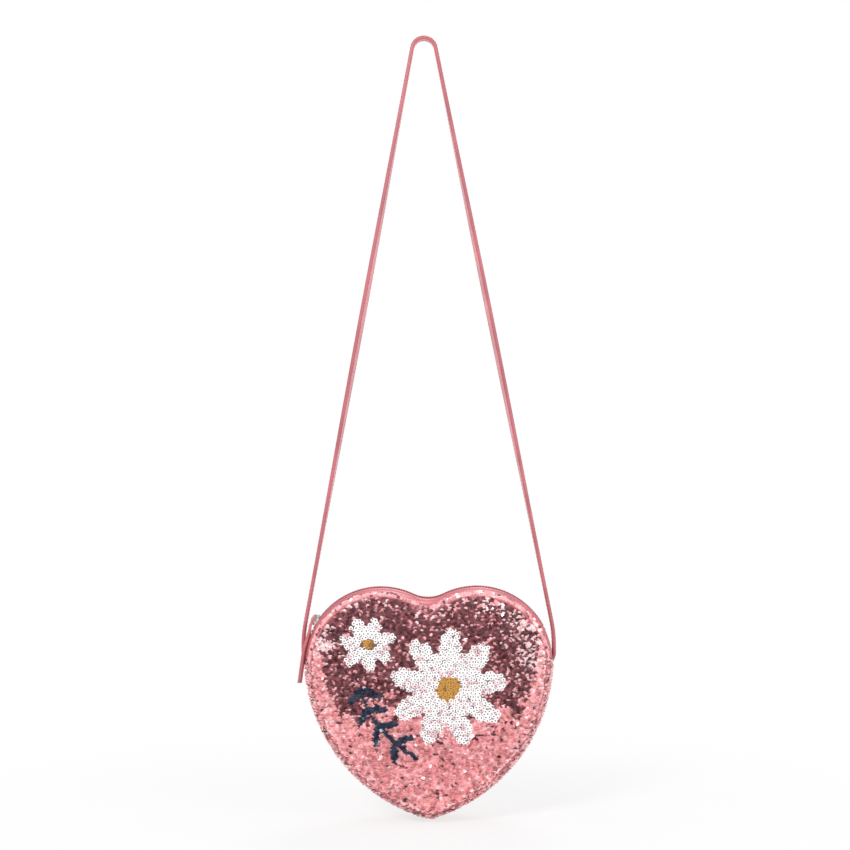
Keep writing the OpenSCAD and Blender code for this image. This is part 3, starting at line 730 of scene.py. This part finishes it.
def front_slots(x, z, s, rng):
    """Colour of each front sequin: dark above and pink below, turned over here and there, with painted
    highlights and a sprig.
    """
    count = len(x)
    pick = rng.random(count)
    level = (z - EDGE_Z) / EDGE_SOFT
    for cell, seed, weight in EDGE_NOISES:
        level = level + (value_noise(x, z, cell, seed) - 0.5) * weight
    rim = np.clip((s - RIM_FROM) / RIM_SPAN, 0, 1)
    level = level - rim * (1.2 + 5.0 * np.clip(np.abs(x) / HALF_BAG, 0, 1) ** 2)
    stray = value_noise(x * 0.7, z * 1.4, 2.3 * MM, 11)
    dark = np.where(level > 0, stray < 0.9, stray > 0.78 + 0.1 * np.clip(-level / 3, 0, 1))
    dark = dark & (rng.random(count) > TURNED_OVER)
    names = varied(np.where(dark, FOILS.index("dark"), FOILS.index("pink")), pick)
    # painted highlights: near-white sequins here and there, more of them near the rim and round the bright
    # spots
    painted_glint_chance = np.where(dark, 0.008, 0.03) + 0.10 * rim
    for sx, sz, reach in PAINTED_GLINT_SPOTS:
        painted_glint_chance = painted_glint_chance + 0.4 * np.exp(-((x - sx) ** 2 + (z - sz) ** 2) / reach ** 2)
    names = np.where(rng.random(count) < painted_glint_chance, FOILS.index("glint"), names)
    return np.where(on_sprig(x, z), FOILS.index("navy"), names)


def pink_slots(count, rng, dark_share=0.06, painted_glint_share=0.06):
    """Colour of each sequin on plain pink cloth, with some dark ones and some pale ones as painted
    highlights.
    """
    names = varied(FOILS.index("pink"), rng.random(count))
    names = np.where(rng.random(count) < dark_share, FOILS.index("dark"), names)
    return np.where(rng.random(count) < painted_glint_share, FOILS.index("glint"), names)


def sequin_grid(pitch, row_pitch, uneven, rng):
    """Places over a panel in offset rows, a little uneven as they are sewn."""
    heights = np.arange(TIP_Z, LOBE_R, row_pitch)
    lines = [np.arange(-HALF_BAG, HALF_BAG, pitch) + (row % 2) * pitch / 2 for row in range(len(heights))]
    x = np.concatenate(lines)
    z = np.concatenate([np.full(len(line), h) for line, h in zip(lines, heights)])
    return x + rng.normal(0, uneven, len(x)), z + rng.normal(0, uneven, len(z))


class PanelSequins(bpy.types.Operator):
    """Sequins of the front panel, with its flowers, and of the plain back panel"""
    bl_idname = "bag.panel_sequins"
    bl_label = "Panel sequins"

    def execute(self, context):
        q = sequins()
        shape = PanelShape(sizes().piping_r + 0.2 * MM)
        for name, side in PANELS:
            rng = np.random.default_rng(SEED + side)
            px, pz = sequin_grid(q.pitch, q.row, 0.22 * MM, rng)
            s = shape.share(px, pz)
            keep = s < NEAR_PIPING
            if side < 0:
                keep &= in_flowers(px, pz) == 0
            px, pz, s = px[keep], pz[keep], s[keep]
            slots = front_slots(px, pz, s, rng) if side < 0 else pink_slots(len(px), rng)
            sequin_mesh(name + "_sequins", *on_panel(shape, side, px, pz), slots, SEED + 5 + side)
        rng = np.random.default_rng(SEED)
        px, pz = sequin_grid(q.flower_pitch, q.flower_pitch * math.sqrt(3) / 2, 0.3 * MM, rng)
        part = in_flowers(px, pz)
        px, pz, part = px[part > 0], pz[part > 0], part[part > 0]
        slots = np.where(part == 1, FOILS.index("white"), FOILS.index("amber"))
        slots = slots + (rng.random(len(px)) < SHADED)
        places, normals, downs = on_panel(shape, -1, px, pz)
        places = places + 0.35 * MM * np.array([0, -1, 0])
        sequin_mesh("front_flower_sequins", places, normals, downs, slots, SEED + 9, True)
        return {"FINISHED"}


def cover_depths():
    """Rim and middle depths of the outer face of a panel's cloth, below its sequins."""
    return 2.5 * MM, layer_depths()["panel"] - 0.6 * MM


def on_panel(shape, side, px, pz):
    """Places, normals and hanging directions on a panel's cloth."""
    def depth(a, b):
        return HALF_BAND + shape.depth(a, b, *cover_depths())
    step = 0.3 * MM
    dx = np.clip((depth(px + step, pz) - depth(px - step, pz)) / (2 * step), -1.4, 1.4)
    dz = np.clip((depth(px, pz + step) - depth(px, pz - step)) / (2 * step), -1.4, 1.4)
    places = np.column_stack([px, side * depth(px, pz), pz + WIDEST_Z])
    normals = np.column_stack([-dx, np.full(len(px), side), -dz])
    return places, normals, np.tile([0.0, 0.0, -1.0], (len(px), 1))


# Bands round the side
def band_surface(v, y, out, centres):
    """Point on the side band, raised by out."""
    x, z = heart(v, y, -out, centres)
    return np.array([x, y, z + WIDEST_Z])


def band_solid(name, stations, ys, heights, thick, finish, slot, *nodes, ring=False):
    """A closed strip of the side band, with one height or one for each place across it."""
    centres = arc_centres()
    heights = np.broadcast_to(heights, len(ys))
    loops = []
    for v in stations:
        outer = [band_surface(v, y, h, centres) for y, h in zip(ys, heights)]
        inner = [band_surface(v, y, h - thick, centres) for y, h in zip(ys[::-1], heights[::-1])]
        loops.append(np.array(outer + inner))
    points, faces = loft(loops, ring)
    return settle(face_out(make_object(name, points, faces, [material(finish)])), "bag", slot, *nodes)


def on_side(v, y, centres):
    """Place and outward direction on the side band."""
    p = band_surface(v, y, 0, centres)
    along = band_surface(v + 0.002, y, 0, centres) - band_surface(v - 0.002, y, 0, centres)
    across = band_surface(v, y + 0.1 * MM, 0, centres) - band_surface(v, y - 0.1 * MM, 0, centres)
    n = np.cross(along, across)
    if n @ (p - np.array([0, 0, WIDEST_Z + PANEL_MID])) < 0:
        n = -n
    return p, n / np.linalg.norm(n)


def band_rows(first, last, ys, rng, uneven, hang, holes=(), to_end=True):
    """Places, outward directions and hanging directions of sequins in rows along part of the side band."""
    centres = arc_centres()
    low, high = sorted((first, last))
    places, normals = [], []
    for row, y in enumerate(ys):
        line = even_stations(first, last, sequins().pitch, y)
        half = (line[1] - line[0]) / 2 * (row % 2)
        for v in line if to_end else line[:-1]:
            v = min(max(v + half, low), high)
            yy = y + rng.normal(0, uneven)
            if any(a < v < b and abs(yy) < w for a, b, w in holes):
                continue
            p, n = on_side(v, yy, centres)
            places.append(p)
            normals.append(n)
    return np.array(places), np.array(normals), np.tile(hang, (len(places), 1))


# Height above the widest line of the seams between the side band and the zip's strips
SEAM_HEIGHT = 0.0024
# Layers of the band: how far from the zip's middle each runs, how deep it lies and how thick it is
TAPE_SPAN, TAPE_DEPTH, TAPE_T = (0.0015, 0.013), 0.0014, 0.0005
BINDING_SPAN, BINDING_DEPTH, BINDING_T = (0.0135, 0.0193), 0.0043, 0.0008
ZIP_LINING_FROM, ZIP_LINING_DEPTH = 0.0065, 0.0021
LINING_DEPTH, LINING_T = 0.0036, 0.0005
TAB_T = 0.0012
# How high the two folds beside the zip puff up, from the teeth outward
FOLD_HEIGHTS = (0.85 * MM, 0.6 * MM)


class SideBand(bpy.types.Operator):
    """Sequinned cloth of the side band below the strap, with its wadding"""
    bl_idname = "bag.side_band"
    bl_label = "Side band"

    def execute(self, context):
        z = sizes()
        seam = station_at_height(SEAM_HEIGHT)
        band_solid(
            "side_band_cover", even_stations(-seam, seam, 2.5 * MM), np.linspace(-HALF_BAND, HALF_BAND, 27),
            0, z.cloth, "backing_cloth", "sequin_cloth", "lower_gusset")
        q = sequins()
        rows = np.arange(-HALF_BAND + q.radius * 0.6, HALF_BAND - q.radius * 0.4, q.row * 1.15)
        slot_end = station_at_height(-2 * MM)
        slot_half_w = STRAP_HALF_W + 1.4 * MM
        holes = [(slot_end, seam + 1, slot_half_w), (-seam - 1, -slot_end, slot_half_w)]
        rng = np.random.default_rng(SEED + 30)
        spots = band_rows(-seam + 0.01, seam - 0.01, rows, rng, 0.15 * MM, (0.02, -0.3, -1.0), holes)
        sequin_mesh("side_band_sequins", *spots, pink_slots(len(spots[0]), rng, 0.1, 0.1), SEED + 31)
        pad_end = station_at_height(-14 * MM)
        pad_ys = np.linspace(-HALF_BAND + 0.8 * MM, HALF_BAND - 0.8 * MM, 21)
        puff = [-z.cloth - 0.3 * MM - 0.5 * MM * abs(math.sin(y / MM)) for y in pad_ys]
        pad = band_solid(
            "side_band_wadding", even_stations(-pad_end, pad_end, 3 * MM), pad_ys, puff, 1.6 * MM, "wadding",
            "wadding", "lower_gusset_padding")
        return {"FINISHED"}


def stitches(name, places, ways, outs, length, width, height):
    """A row of stitches: small rounded dashes lying on a surface."""
    ring = [(-0.5, 0, 0), (-0.3, 0.5, 0), (0.3, 0.5, 0), (0.5, 0, 0), (0.3, -0.5, 0), (-0.3, -0.5, 0)]
    top = [(-0.28, 0, 1), (0.28, 0, 1)]
    shape = np.array(ring + top)
    tri = [(0, 6, 1), (1, 6, 7, 2), (2, 7, 3), (3, 7, 4), (4, 7, 6, 5), (5, 6, 0), (0, 1, 2, 3, 4, 5)]
    points, faces = [], []
    for p, w, o in zip(places, ways, outs):
        w = w / np.linalg.norm(w)
        o = o - w * (o @ w)
        o = o / np.linalg.norm(o)
        s = np.cross(o, w)
        k = len(points)
        for a, b, c in shape:
            points.append(p + w * a * length + s * b * width + o * (c * height - 0.05 * MM))
        faces.extend([tuple(k + i for i in f) for f in tri])
    return make_object(name, np.array(points), faces, [material("thread")])


def on_band(runs, out):
    """Places, ways and outward directions along runs of (station, depth) pairs on the side band."""
    centres = arc_centres()
    places, ways, outs = [], [], []
    for run in runs:
        pts = np.array([band_surface(v, y, out, centres) for v, y in run])
        above = np.array([band_surface(v, y, out + 1 * MM, centres) for v, y in run])
        places.append(pts)
        ways.append(np.gradient(pts, axis=0))
        outs.append(above - pts)
    return np.concatenate(places), np.concatenate(ways), np.concatenate(outs)


class ZipStrips(bpy.types.Operator):
    """Band beside the zip: two smooth folds next to the teeth and sequins up to the panels"""
    bl_idname = "bag.zip_strips"
    bl_label = "Zip strips"

    def execute(self, context):
        z = sizes()
        q = sequins()
        seam = station_at_height(SEAM_HEIGHT + 0.4 * MM)
        right = even_stations(seam, 5, 2 * MM)
        stations = over_crest(right)
        smooth_end = z.zip_half + 2 * z.welt
        for name, side in PANELS:
            ys, heights = [], []
            for fold, height in enumerate(FOLD_HEIGHTS):
                for k in range(7):
                    ys.append(side * (z.zip_half + z.welt * (fold + k / 6 * 0.98 + 0.01)))
                    heights.append(height * math.sin(math.pi * (0.02 + 0.96 * k / 6)) ** 0.6)
            band_solid("zip_welt_" + name, stations, ys, heights, z.cloth * 0.8, "piping", "sequin_cloth")
            band_solid(
                "zip_strip_cover_" + name, stations, side * np.linspace(smooth_end, HALF_BAND, 9), 0, z.cloth,
                "backing_cloth", "sequin_cloth", "zip_strip_" + name)
            rows = side * np.arange(smooth_end + q.radius * 0.6, HALF_BAND - q.radius * 0.4, q.row)
            halves = []
            for hand in (1, -1):
                rng = np.random.default_rng(int(seam * 1000) + int(hand > 0))
                halves.append(band_rows(
                    hand * seam, hand * 4.98, rows, rng, 0.12 * MM, (0.05, side, -0.3), to_end=False))
            spots = [np.concatenate(x) for x in zip(*halves)]
            slots = pink_slots(len(spots[0]), np.random.default_rng(SEED + 50 + side), 0.1, 0.1)
            sequin_mesh("zip_strip_sequins_" + name, *spots, slots, SEED + 60 + side)
            line_y = side * (z.zip_half + z.welt * 1.02)
            line = on_band([[(v, line_y) for v in run] for run in (right[1:-1], -right[1:-1])], 0.25 * MM)
            settle(stitches("zip_stitches_" + name, *line, 1.5 * MM, 0.5 * MM, 0.35 * MM), "bag", "piping")
        return {"FINISHED"}


class Piping(bpy.types.Operator):
    """Piping beads along the two panel seams"""
    bl_idname = "bag.piping"
    bl_label = "Piping"

    def execute(self, context):
        z = sizes()
        centres = arc_centres()
        low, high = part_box("front_piping")
        middle = -(low[1] + high[1]) / 2
        stations = whole_round(1.4 * MM, HALF_BAND)
        for name, side in PANELS:
            loops = []
            for i, v in enumerate(stations):
                pucker = 1 + 0.035 * math.sin(i * 2.1)
                loop = []
                for k in range(12):
                    a = 2 * math.pi * k / 12
                    x, h = heart(v, HALF_BAND, z.piping_r * 0.6 - z.piping_r * pucker * math.cos(a), centres)
                    loop.append((x, side * (middle + z.piping_r * pucker * math.sin(a)), h + WIDEST_Z))
                loops.append(np.array(loop))
            points, faces = loft(loops, ring=True)
            bead = face_out(make_object(name + "_piping_bead", points, faces, [material("piping")]))
            settle(bead, "bag", "piping", name + "_piping")
        return {"FINISHED"}


def dress(names, mat, width=0.0):
    """Gives frame nodes a material, and a small bevel on their edges where width is set."""
    for name in names:
        obj = frame["nodes"][name]
        if not obj.material_slots:
            obj.data.materials.append(None)
        for s in obj.material_slots:
            s.link = "OBJECT"
            s.material = material(mat)
        if width:
            edge = obj.modifiers.new("edge", "BEVEL")
            edge.width = width
            edge.segments = 2
            edge.limit_method = "ANGLE"


class ZipChain(bpy.types.Operator):
    """Zip tapes, teeth, stops and end tabs"""
    bl_idname = "bag.zip_chain"
    bl_label = "Zip"

    def execute(self, context):
        seam = station_at_height(7 * MM)
        stations = over_crest(even_stations(seam, 5, 2 * MM))
        for name, side in PANELS:
            band_solid(
                "zip_tape_weave_" + name, stations, side * np.linspace(*TAPE_SPAN, 12), -TAPE_DEPTH, TAPE_T,
                "zip_tape", "zip_tape", "zip_tape_" + name)
        dress(["zip_teeth_front", "zip_teeth_back"], "zip_teeth")
        dress(["zip_closed_stops", "zip_open_stop"], "silvered_metal", 0.2 * MM)
        for side_name, hand in (("left", -1), ("right", 1)):
            tab_name = "zip_end_tab_" + side_name
            low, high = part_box(tab_name)
            ends = [station_at_height(h - WIDEST_Z) for h in (low[2], high[2])]
            half = high[1]
            ys = np.linspace(-half, half, 13)
            puff = [-0.35 * MM * (abs(y) / half) ** 6 for y in ys]
            run = hand * np.linspace(*ends, 12)
            band_solid("leather_" + tab_name, run, ys, puff, TAB_T, "leatherette", "leatherette", tab_name)
            inset = half - 0.9 * MM
            across = 0.06 * (ends[1] - ends[0])
            span = hand * np.linspace(ends[0] + across, ends[1] - across, 8)
            runs = [[(v, y) for v in span] for y in (-inset, inset)]
            runs += [[(v, y) for y in np.linspace(-inset * 0.7, inset * 0.7, 4)] for v in (span[0], span[-1])]
            sewn = stitches(side_name + "_tab_stitches", *on_band(runs, 0), 1.6 * MM, 0.45 * MM, 0.3 * MM)
            settle(sewn, "bag", "leatherette")
        return {"FINISHED"}


# Pull: its middle line from the bail down, and how far its width has turned, as shares of its drop
PULL_DROP = 0.046
PULL_W = 0.0046
PLY = 0.001
PULL_LINE = [
    (0, -0.026, 0), (-0.003, -0.076, -0.006), (-0.018, -0.13, -0.041), (-0.047, -0.168, -0.1),
    (-0.062, -0.18, -0.193), (-0.097, -0.187, -0.324), (-0.143, -0.191, -0.491), (-0.175, -0.196, -0.683),
    (-0.223, -0.196, -1)]
PULL_TURNS = [0, 0, 0.15, 0.4, 0.65, 0.85, 1, 1, 1]
PULL_TURN = math.radians(20)
# How far the pull's stitches lie in from its edges
PULL_HEM = 0.75 * MM


def eased(table, count):
    """Rows at even steps on a smooth curve through the rows of a table."""
    table = np.asarray(table, float).reshape(len(table), -1)
    at = np.linspace(0, len(table) - 1, count)
    i = np.minimum(at.astype(int), len(table) - 2)
    f = (at - i)[:, None]
    a, b, c, d = (table[np.clip(i + k, 0, len(table) - 1)] for k in (-1, 0, 1, 2))
    return b + 0.5 * f * (c - a + f * (2 * a - 5 * b + 4 * c - d + f * (3 * (b - c) + d - a)))


def strip_loops(profile, points, widths, outs):
    """A strip's loops: the profile's first value runs across the strip and its second outward."""
    return [np.array([p + w * a + o * b for a, b in profile]) for p, w, o in zip(points, widths, outs)]


def leather_strip(name, loops, edges):
    """A leather strip through loops, with a darker copy of its leatherette as painted shade along the given
    edges and at its cut ends.
    """
    points, faces = loft(loops)
    sides = len(loops[0])
    slots = [int(k % sides in edges) for k in range(sides * (len(loops) - 1))]
    slots += [1] * (len(faces) - len(slots))
    return face_out(make_object(
        name, points, faces, [material("leatherette"), material("leather_edge")], slots))


class SliderAndPull(bpy.types.Operator):
    """Zip slider in silvered metal and its sewn leatherette pull"""
    bl_idname = "bag.slider_and_pull"
    bl_label = "Slider and pull"

    def execute(self, context):
        dress(["slider_body", "slider_lower_plate"], "silvered_metal", 0.25 * MM)
        bail = np.array(BAIL)
        outward = bail - np.array([-LOBE_X, 0, WIDEST_Z])
        outward /= np.linalg.norm(outward)
        along_zip = np.array([outward[2], 0, -outward[0]])
        count = 33
        mids = bail + PULL_DROP * eased(PULL_LINE, count)
        turned = np.array([-math.sin(PULL_TURN), -math.cos(PULL_TURN), 0])
        wide = units(along_zip + (turned - along_zip) * eased(PULL_TURNS, count))
        way = units(np.gradient(mids, axis=0))
        wide = units(square_to(wide, way))
        side = np.cross(way, wide)
        part = np.interp(np.arange(count), [0, 4], [PLY, PLY / 2])[:, None]
        round_bail = [
            bail + PLY * (outward * math.sin(a) + np.array([0, math.cos(a), 0]))
            for a in np.linspace(math.pi / 2, -math.pi / 2, 9)]
        line = np.concatenate([(mids + side * part)[::-1], round_bail, mids - side * part])
        widths = np.concatenate([wide[::-1], np.tile(along_zip, (9, 1)), wide])
        ahead = units(np.gradient(line, axis=0))
        outs = np.cross(ahead, widths)
        edge = 0.3 * MM
        half_w, half_t = PULL_W / 2, PLY * 0.45
        rounded = [(-half_w, -0.3), (-half_w + edge, -1), (0, -1.05), (half_w - edge, -1), (half_w, -0.3),
                   (half_w, 0.3), (half_w - edge, 1), (0, 1.05), (-half_w + edge, 1), (-half_w, 0.3)]
        rounded = [(a, b * half_t) for a, b in rounded]
        pull = leather_strip("sewn_pull", strip_loops(rounded, line, widths, outs), (4, 9))
        settle(pull, "pull", "leatherette", "pull_tab")
        places, ways, ups = [], [], []
        for k in range(9, count - 1):
            for face in (-1, 1):
                for hand in (-1, 1):
                    up = side[k] * face
                    places.append(mids[k] + up * PLY * 0.97 + wide[k] * hand * (half_w - PULL_HEM))
                    ways.append(way[k])
                    ups.append(up)
        sewn = stitches("pull_stitches", places, ways, ups, 1.0 * MM, 0.3 * MM, 0.15 * MM)
        settle(sewn, "pull", "leatherette")
        return {"FINISHED"}


class Inside(bpy.types.Operator):
    """Linings and seam bindings inside the bag"""
    bl_idname = "bag.inside"
    bl_label = "Inside"

    def execute(self, context):
        shape = PanelShape(sizes().piping_r + 0.6 * MM)
        deep = layer_depths()["lining"]
        seam = station_at_height(SEAM_HEIGHT)
        over = over_crest(even_stations(seam, 5, 2.5 * MM))
        for name, side in PANELS:
            panel_solid(
                name + "_lining_cloth", shape, side, (0.2 * MM, deep - LINING_T), (0.7 * MM, deep), "lining",
                "lining_cloth", name + "_lining", 14)
            band_solid(
                name + "_binding_tape", whole_round(2.5 * MM, HALF_BAND),
                side * np.linspace(*BINDING_SPAN, 5), -BINDING_DEPTH, BINDING_T, "binding", "lining_cloth",
                name + "_seam_binding", ring=True)
            band_solid(
                "zip_lining_cloth_" + name, over, side * np.linspace(ZIP_LINING_FROM, HALF_BAND, 9),
                -ZIP_LINING_DEPTH, LINING_T, "lining", "lining_cloth", "zip_lining_" + name)
        band_solid(
            "side_lining_cloth", even_stations(-seam, seam, 2.5 * MM), np.linspace(-HALF_BAND, HALF_BAND, 21),
            -LINING_DEPTH, LINING_T, "lining", "lining_cloth", "lower_gusset_lining")
        return {"FINISHED"}


# Strap: heights above the widest line where its ends enter the side seams and where its bends start, the
# radius of the peg that it hangs over, its thickness, and its gap from the bag's side
ENTRY_Z = 0.0064
BEND_Z = 0.012
PEG_R = 0.0075
STRAP_T = 0.0025
STRAP_GAP = 0.0003
# How far its sewn tails reach below the widest line, and how far in from the bag's side they lie
TAIL_DROP = 0.006
TAIL_IN = 0.0017
# Where the strap's two seams lie across its half width, and how deep they are drawn in
SEAM_SHARE = 0.72
SEAM_DIP = 0.00012


def arc(centre, radius, first, last, count):
    """Points of an arc at even angles, without the first one."""
    angles = [first + (last - first) * k / count for k in range(1, count + 1)]
    return [(centre[0] + radius * math.cos(a), centre[1] + radius * math.sin(a)) for a in angles]


def strap_path():
    """Middle line of the strap from the left side seam over the top to the right one, as (x, z)."""
    z = sizes()
    strap_x = HALF_BAG + STRAP_GAP + STRAP_T / 2
    mid_r = PEG_R + STRAP_T / 2
    bend_z = BEND_Z + WIDEST_Z
    top_z = -PEG_R
    lower_c = np.array([strap_x - z.strap_bend_r, bend_z])
    reach = np.linalg.norm([lower_c[0], top_z - bend_z])
    lean = math.atan2(top_z - bend_z, -lower_c[0]) - math.acos((z.strap_bend_r - mid_r) / reach)
    path = []
    inside = HALF_BAG - TAIL_IN - STRAP_T / 2
    for s in np.arange(13) / 12:
        ease = s * s * (3 - 2 * s)
        path.append((inside + (strap_x - inside) * ease, WIDEST_Z - TAIL_DROP + s * (ENTRY_Z + TAIL_DROP)))
    for k in range(1, 3):
        path.append((strap_x, WIDEST_Z + ENTRY_Z + (bend_z - WIDEST_Z - ENTRY_Z) * k / 2))
    path += arc(lower_c, z.strap_bend_r, 0, lean, 12)
    start = np.array(path[-1])
    end = np.array([mid_r * math.cos(lean), top_z + mid_r * math.sin(lean)])
    path += [tuple(start + (end - start) * k / 99) for k in range(1, 100)]
    path += arc((0, top_z), mid_r, lean, math.pi / 2, 12)[:-1]
    return np.array([(-x, h) for x, h in path] + [(0, top_z + mid_r)] + path[::-1])


def strap_frames():
    """Points of the strap's middle line with its length, width and outward directions."""
    line = strap_path()
    points = np.column_stack([line[:, 0], np.zeros(len(line)), line[:, 1]])
    along = units(np.gradient(points, axis=0))
    k = (points[:, 2] - FLEX_Z) / (0 - FLEX_Z)
    turn = sizes().strap_turn * np.sin(math.pi * np.clip(k, 0, 1)) ** 2
    sign = np.sign(points[:, 0])
    width = np.column_stack([sign * np.sin(turn), -np.cos(turn), np.zeros(len(points))])
    width = units(square_to(width, along))
    return points, along, width, np.cross(along, width)


class Strap(bpy.types.Operator):
    """Folded leatherette strap in one length, sewn along both edges"""
    bl_idname = "bag.strap"
    bl_label = "Strap"

    def execute(self, context):
        points, along, width, out = strap_frames()
        half_w, half_t = STRAP_HALF_W, STRAP_T / 2
        fold_w = half_t * 0.7
        profile = []
        for hand in (1, -1):
            for k in range(5):
                a = math.pi * (k / 4 - hand / 2)
                profile.append((hand * (half_w - fold_w) + fold_w * math.cos(a), half_t * math.sin(a)))
            for share in (SEAM_SHARE, 0.62, 0.35, 0, -0.35, -0.62, -SEAM_SHARE):
                dip = SEAM_DIP if abs(share) == SEAM_SHARE else 0
                profile.append((hand * half_w * share, hand * (half_t - dip)))
        run = lengths_along(points)
        places, ways, outs = [], [], []
        for s in np.arange(4 * MM, run[-1] - 4 * MM, 3 * MM):
            p, t, w, o = (
                np.array([np.interp(s, run, table[:, i]) for i in range(3)])
                for table in (points, along, width, out))
            for edge in (-1, 1):
                for face in (-1, 1):
                    places.append(p + w * edge * half_w * SEAM_SHARE + o * face * (half_t - 0.05 * MM))
                    ways.append(t)
                    outs.append(o * face)
        sewn = stitches("strap_stitches", places, ways, outs, 2.1 * MM, 0.45 * MM, 0.25 * MM)
        strap = leather_strip(
            "strap_band", strip_loops(profile, points, width, out), (0, 1, 2, 3, 12, 13, 14, 15))
        for piece in (strap, sewn):
            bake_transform(piece)
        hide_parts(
            "strap_cover_left", "strap_cover_top", "strap_cover_right", "strap_end_left",
            "strap_end_right")
        inside = points[:, 2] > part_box("strap_core")[0][2]
        core_w, core_t = STRAP_HALF_W - 1.2 * MM, 0.35 * MM
        flat = [(core_w, -core_t), (core_w, core_t), (0, core_t), (-core_w, core_t), (-core_w, -core_t),
                (0, -core_t)]
        loops = strip_loops(flat, points[inside], width[inside], out[inside])
        filler = face_out(make_object("strap_filler", *loft(loops), [material("wadding")]))
        settle(filler, "strap", "strap_filler", "strap_core")
        return {"FINISHED"}


# Stage: the camera's distance, place, focal length in pixels of the picture, and roll
CAMERA_FAR = 1.4
CAMERA_X = -0.0014
CAMERA_Z = WIDEST_Z + 0.1734
FOCAL_PX = 1914
FRAME_PX = 850
ROLL = math.radians(0.46)
# Each lamp's place from the middle of the heart's widest line, its width and its power
LAMPS = {
    "key": ((-0.7, -1.3, 1.0), 0.5, 14),
    "fill": ((1.1, -1.0, 0.5), 0.7, 6.5),
    "rim": ((0.2, 0.9, 1.1), 0.6, 5),
}


def area_lamp(name, offset, width, power):
    """A round lamp that faces the middle of the heart's widest line."""
    lamp = bpy.data.lights.new(name, "AREA")
    lamp.shape = "DISK"
    lamp.size = width
    lamp.energy = power
    obj = bpy.data.objects.new(name, lamp)
    x, y, h = offset
    obj.location = (x, y, WIDEST_Z + h)
    obj.rotation_euler = (math.atan2(math.hypot(x, y), h), 0, math.atan2(-y, -x) - math.pi / 2)
    bpy.context.scene.collection.objects.link(obj)


def seen_rays(tree):
    """1 for what is seen straight, in a mirror or through glass, and 0 for light on its way to a surface."""
    path = tree.nodes.new("ShaderNodeLightPath").outputs
    seen = combined(tree, "MAXIMUM", path["Is Camera Ray"], path["Is Glossy Ray"])
    return combined(tree, "MAXIMUM", seen, path["Is Transmission Ray"])


class Stage(bpy.types.Operator):
    """White floor, soft light and the camera"""
    bl_idname = "bag.stage"
    bl_label = "Stage"

    def execute(self, context):
        scene = context.scene
        scene.view_settings.view_transform = "Standard"
        cam = bpy.data.cameras.new("camera")
        cam.lens = FOCAL_PX * 36 / FRAME_PX
        cam.sensor_width = 36
        eye = bpy.data.objects.new("camera", cam)
        eye.location = (CAMERA_X, -CAMERA_FAR, CAMERA_Z)
        eye.rotation_euler = (math.pi / 2, ROLL, 0)
        scene.collection.objects.link(eye)
        scene.camera = eye
        floor_z = WIDEST_Z + TIP_Z - 2 * MM
        m, tree, shader = blank(
            "floor_white", Base_Color=(0.9, 0.9, 0.9, 1), Roughness=0.9, Specular_IOR_Level=0.1)
        bright = node(tree, "ShaderNodeEmission", Color=(1, 1, 1, 1))
        away = node(tree, "ShaderNodeVectorMath", operation="DISTANCE")
        away.inputs[1].default_value = (0, 0, floor_z)
        tree.links.new(object_space(tree), away.inputs[0])
        fade = node(
            tree, "ShaderNodeMapRange", From_Min=0.12, From_Max=0.45, To_Min=0.72, To_Max=1.0,
            Value=away.outputs["Value"])
        amount = combined(tree, "MULTIPLY", fade.outputs["Result"], seen_rays(tree))
        blend = node(tree, "ShaderNodeMixShader", Fac=amount)
        tree.links.new(shader.outputs[0], blend.inputs[1])
        tree.links.new(bright.outputs[0], blend.inputs[2])
        tree.links.new(blend.outputs[0], tree.nodes["Material Output"].inputs["Surface"])
        wide = 6
        floor = make_object(
            "floor",
            [(-wide, -wide, floor_z), (wide, -wide, floor_z), (wide, wide, floor_z), (-wide, wide, floor_z)],
            [(0, 1, 2, 3)], [m], smooth=False)
        world = bpy.data.worlds.new("studio")
        scene.world = world
        world.use_nodes = True
        tree = world.node_tree
        back = tree.nodes["Background"]
        back.inputs["Color"].default_value = (1, 1, 1, 1)
        level = node(tree, "ShaderNodeMapRange", To_Min=0.55, To_Max=1.0, Value=seen_rays(tree))
        tree.links.new(level.outputs["Result"], back.inputs["Strength"])
        for name, lamp in LAMPS.items():
            area_lamp(name, *lamp)
        return {"FINISHED"}


class BagPanel(bpy.types.Panel):
    """Lists the bag's pieces in the sidebar"""
    bl_idname = "VIEW3D_PT_heart_bag"
    bl_label = "Shoulder bag"
    bl_space_type = "VIEW_3D"
    bl_region_type = "UI"
    bl_category = "Shoulder bag"

    def draw(self, context):
        for maker in MAKERS:
            self.layout.operator(maker.bl_idname)
        for name in GROUPS:
            group = getattr(context.scene, name)
            for prop in group.bl_rna.properties:
                if not prop.is_readonly and prop.identifier != "name":
                    self.layout.prop(group, prop.identifier)


MAKERS = [
    PanelCovers, Wadding, PanelSequins, SideBand, ZipStrips, Piping, ZipChain, SliderAndPull, Inside, Strap,
    Stage,
]
GROUPS = {"bag_sizes": BagSizes, "sequin_sizes": SequinSizes, "bag_colours": BagColours}


def register():
    for group in GROUPS.values():
        bpy.utils.register_class(group)
    for name, group in GROUPS.items():
        setattr(bpy.types.Scene, name, PointerProperty(type=group))
    for maker in MAKERS:
        bpy.utils.register_class(maker)
    bpy.utils.register_class(BagPanel)


def unregister():
    bpy.utils.unregister_class(BagPanel)
    for maker in MAKERS:
        bpy.utils.unregister_class(maker)
    for name in GROUPS:
        delattr(bpy.types.Scene, name)
    for group in GROUPS.values():
        bpy.utils.unregister_class(group)


def main():
    register()
    bpy.ops.bag.panel_covers()
    bpy.ops.bag.wadding()
    bpy.ops.bag.panel_sequins()
    bpy.ops.bag.side_band()
    bpy.ops.bag.zip_strips()
    bpy.ops.bag.piping()
    bpy.ops.bag.zip_chain()
    bpy.ops.bag.slider_and_pull()
    bpy.ops.bag.inside()
    bpy.ops.bag.strap()
    bpy.ops.bag.stage()


if __name__ == "__main__":
    main()
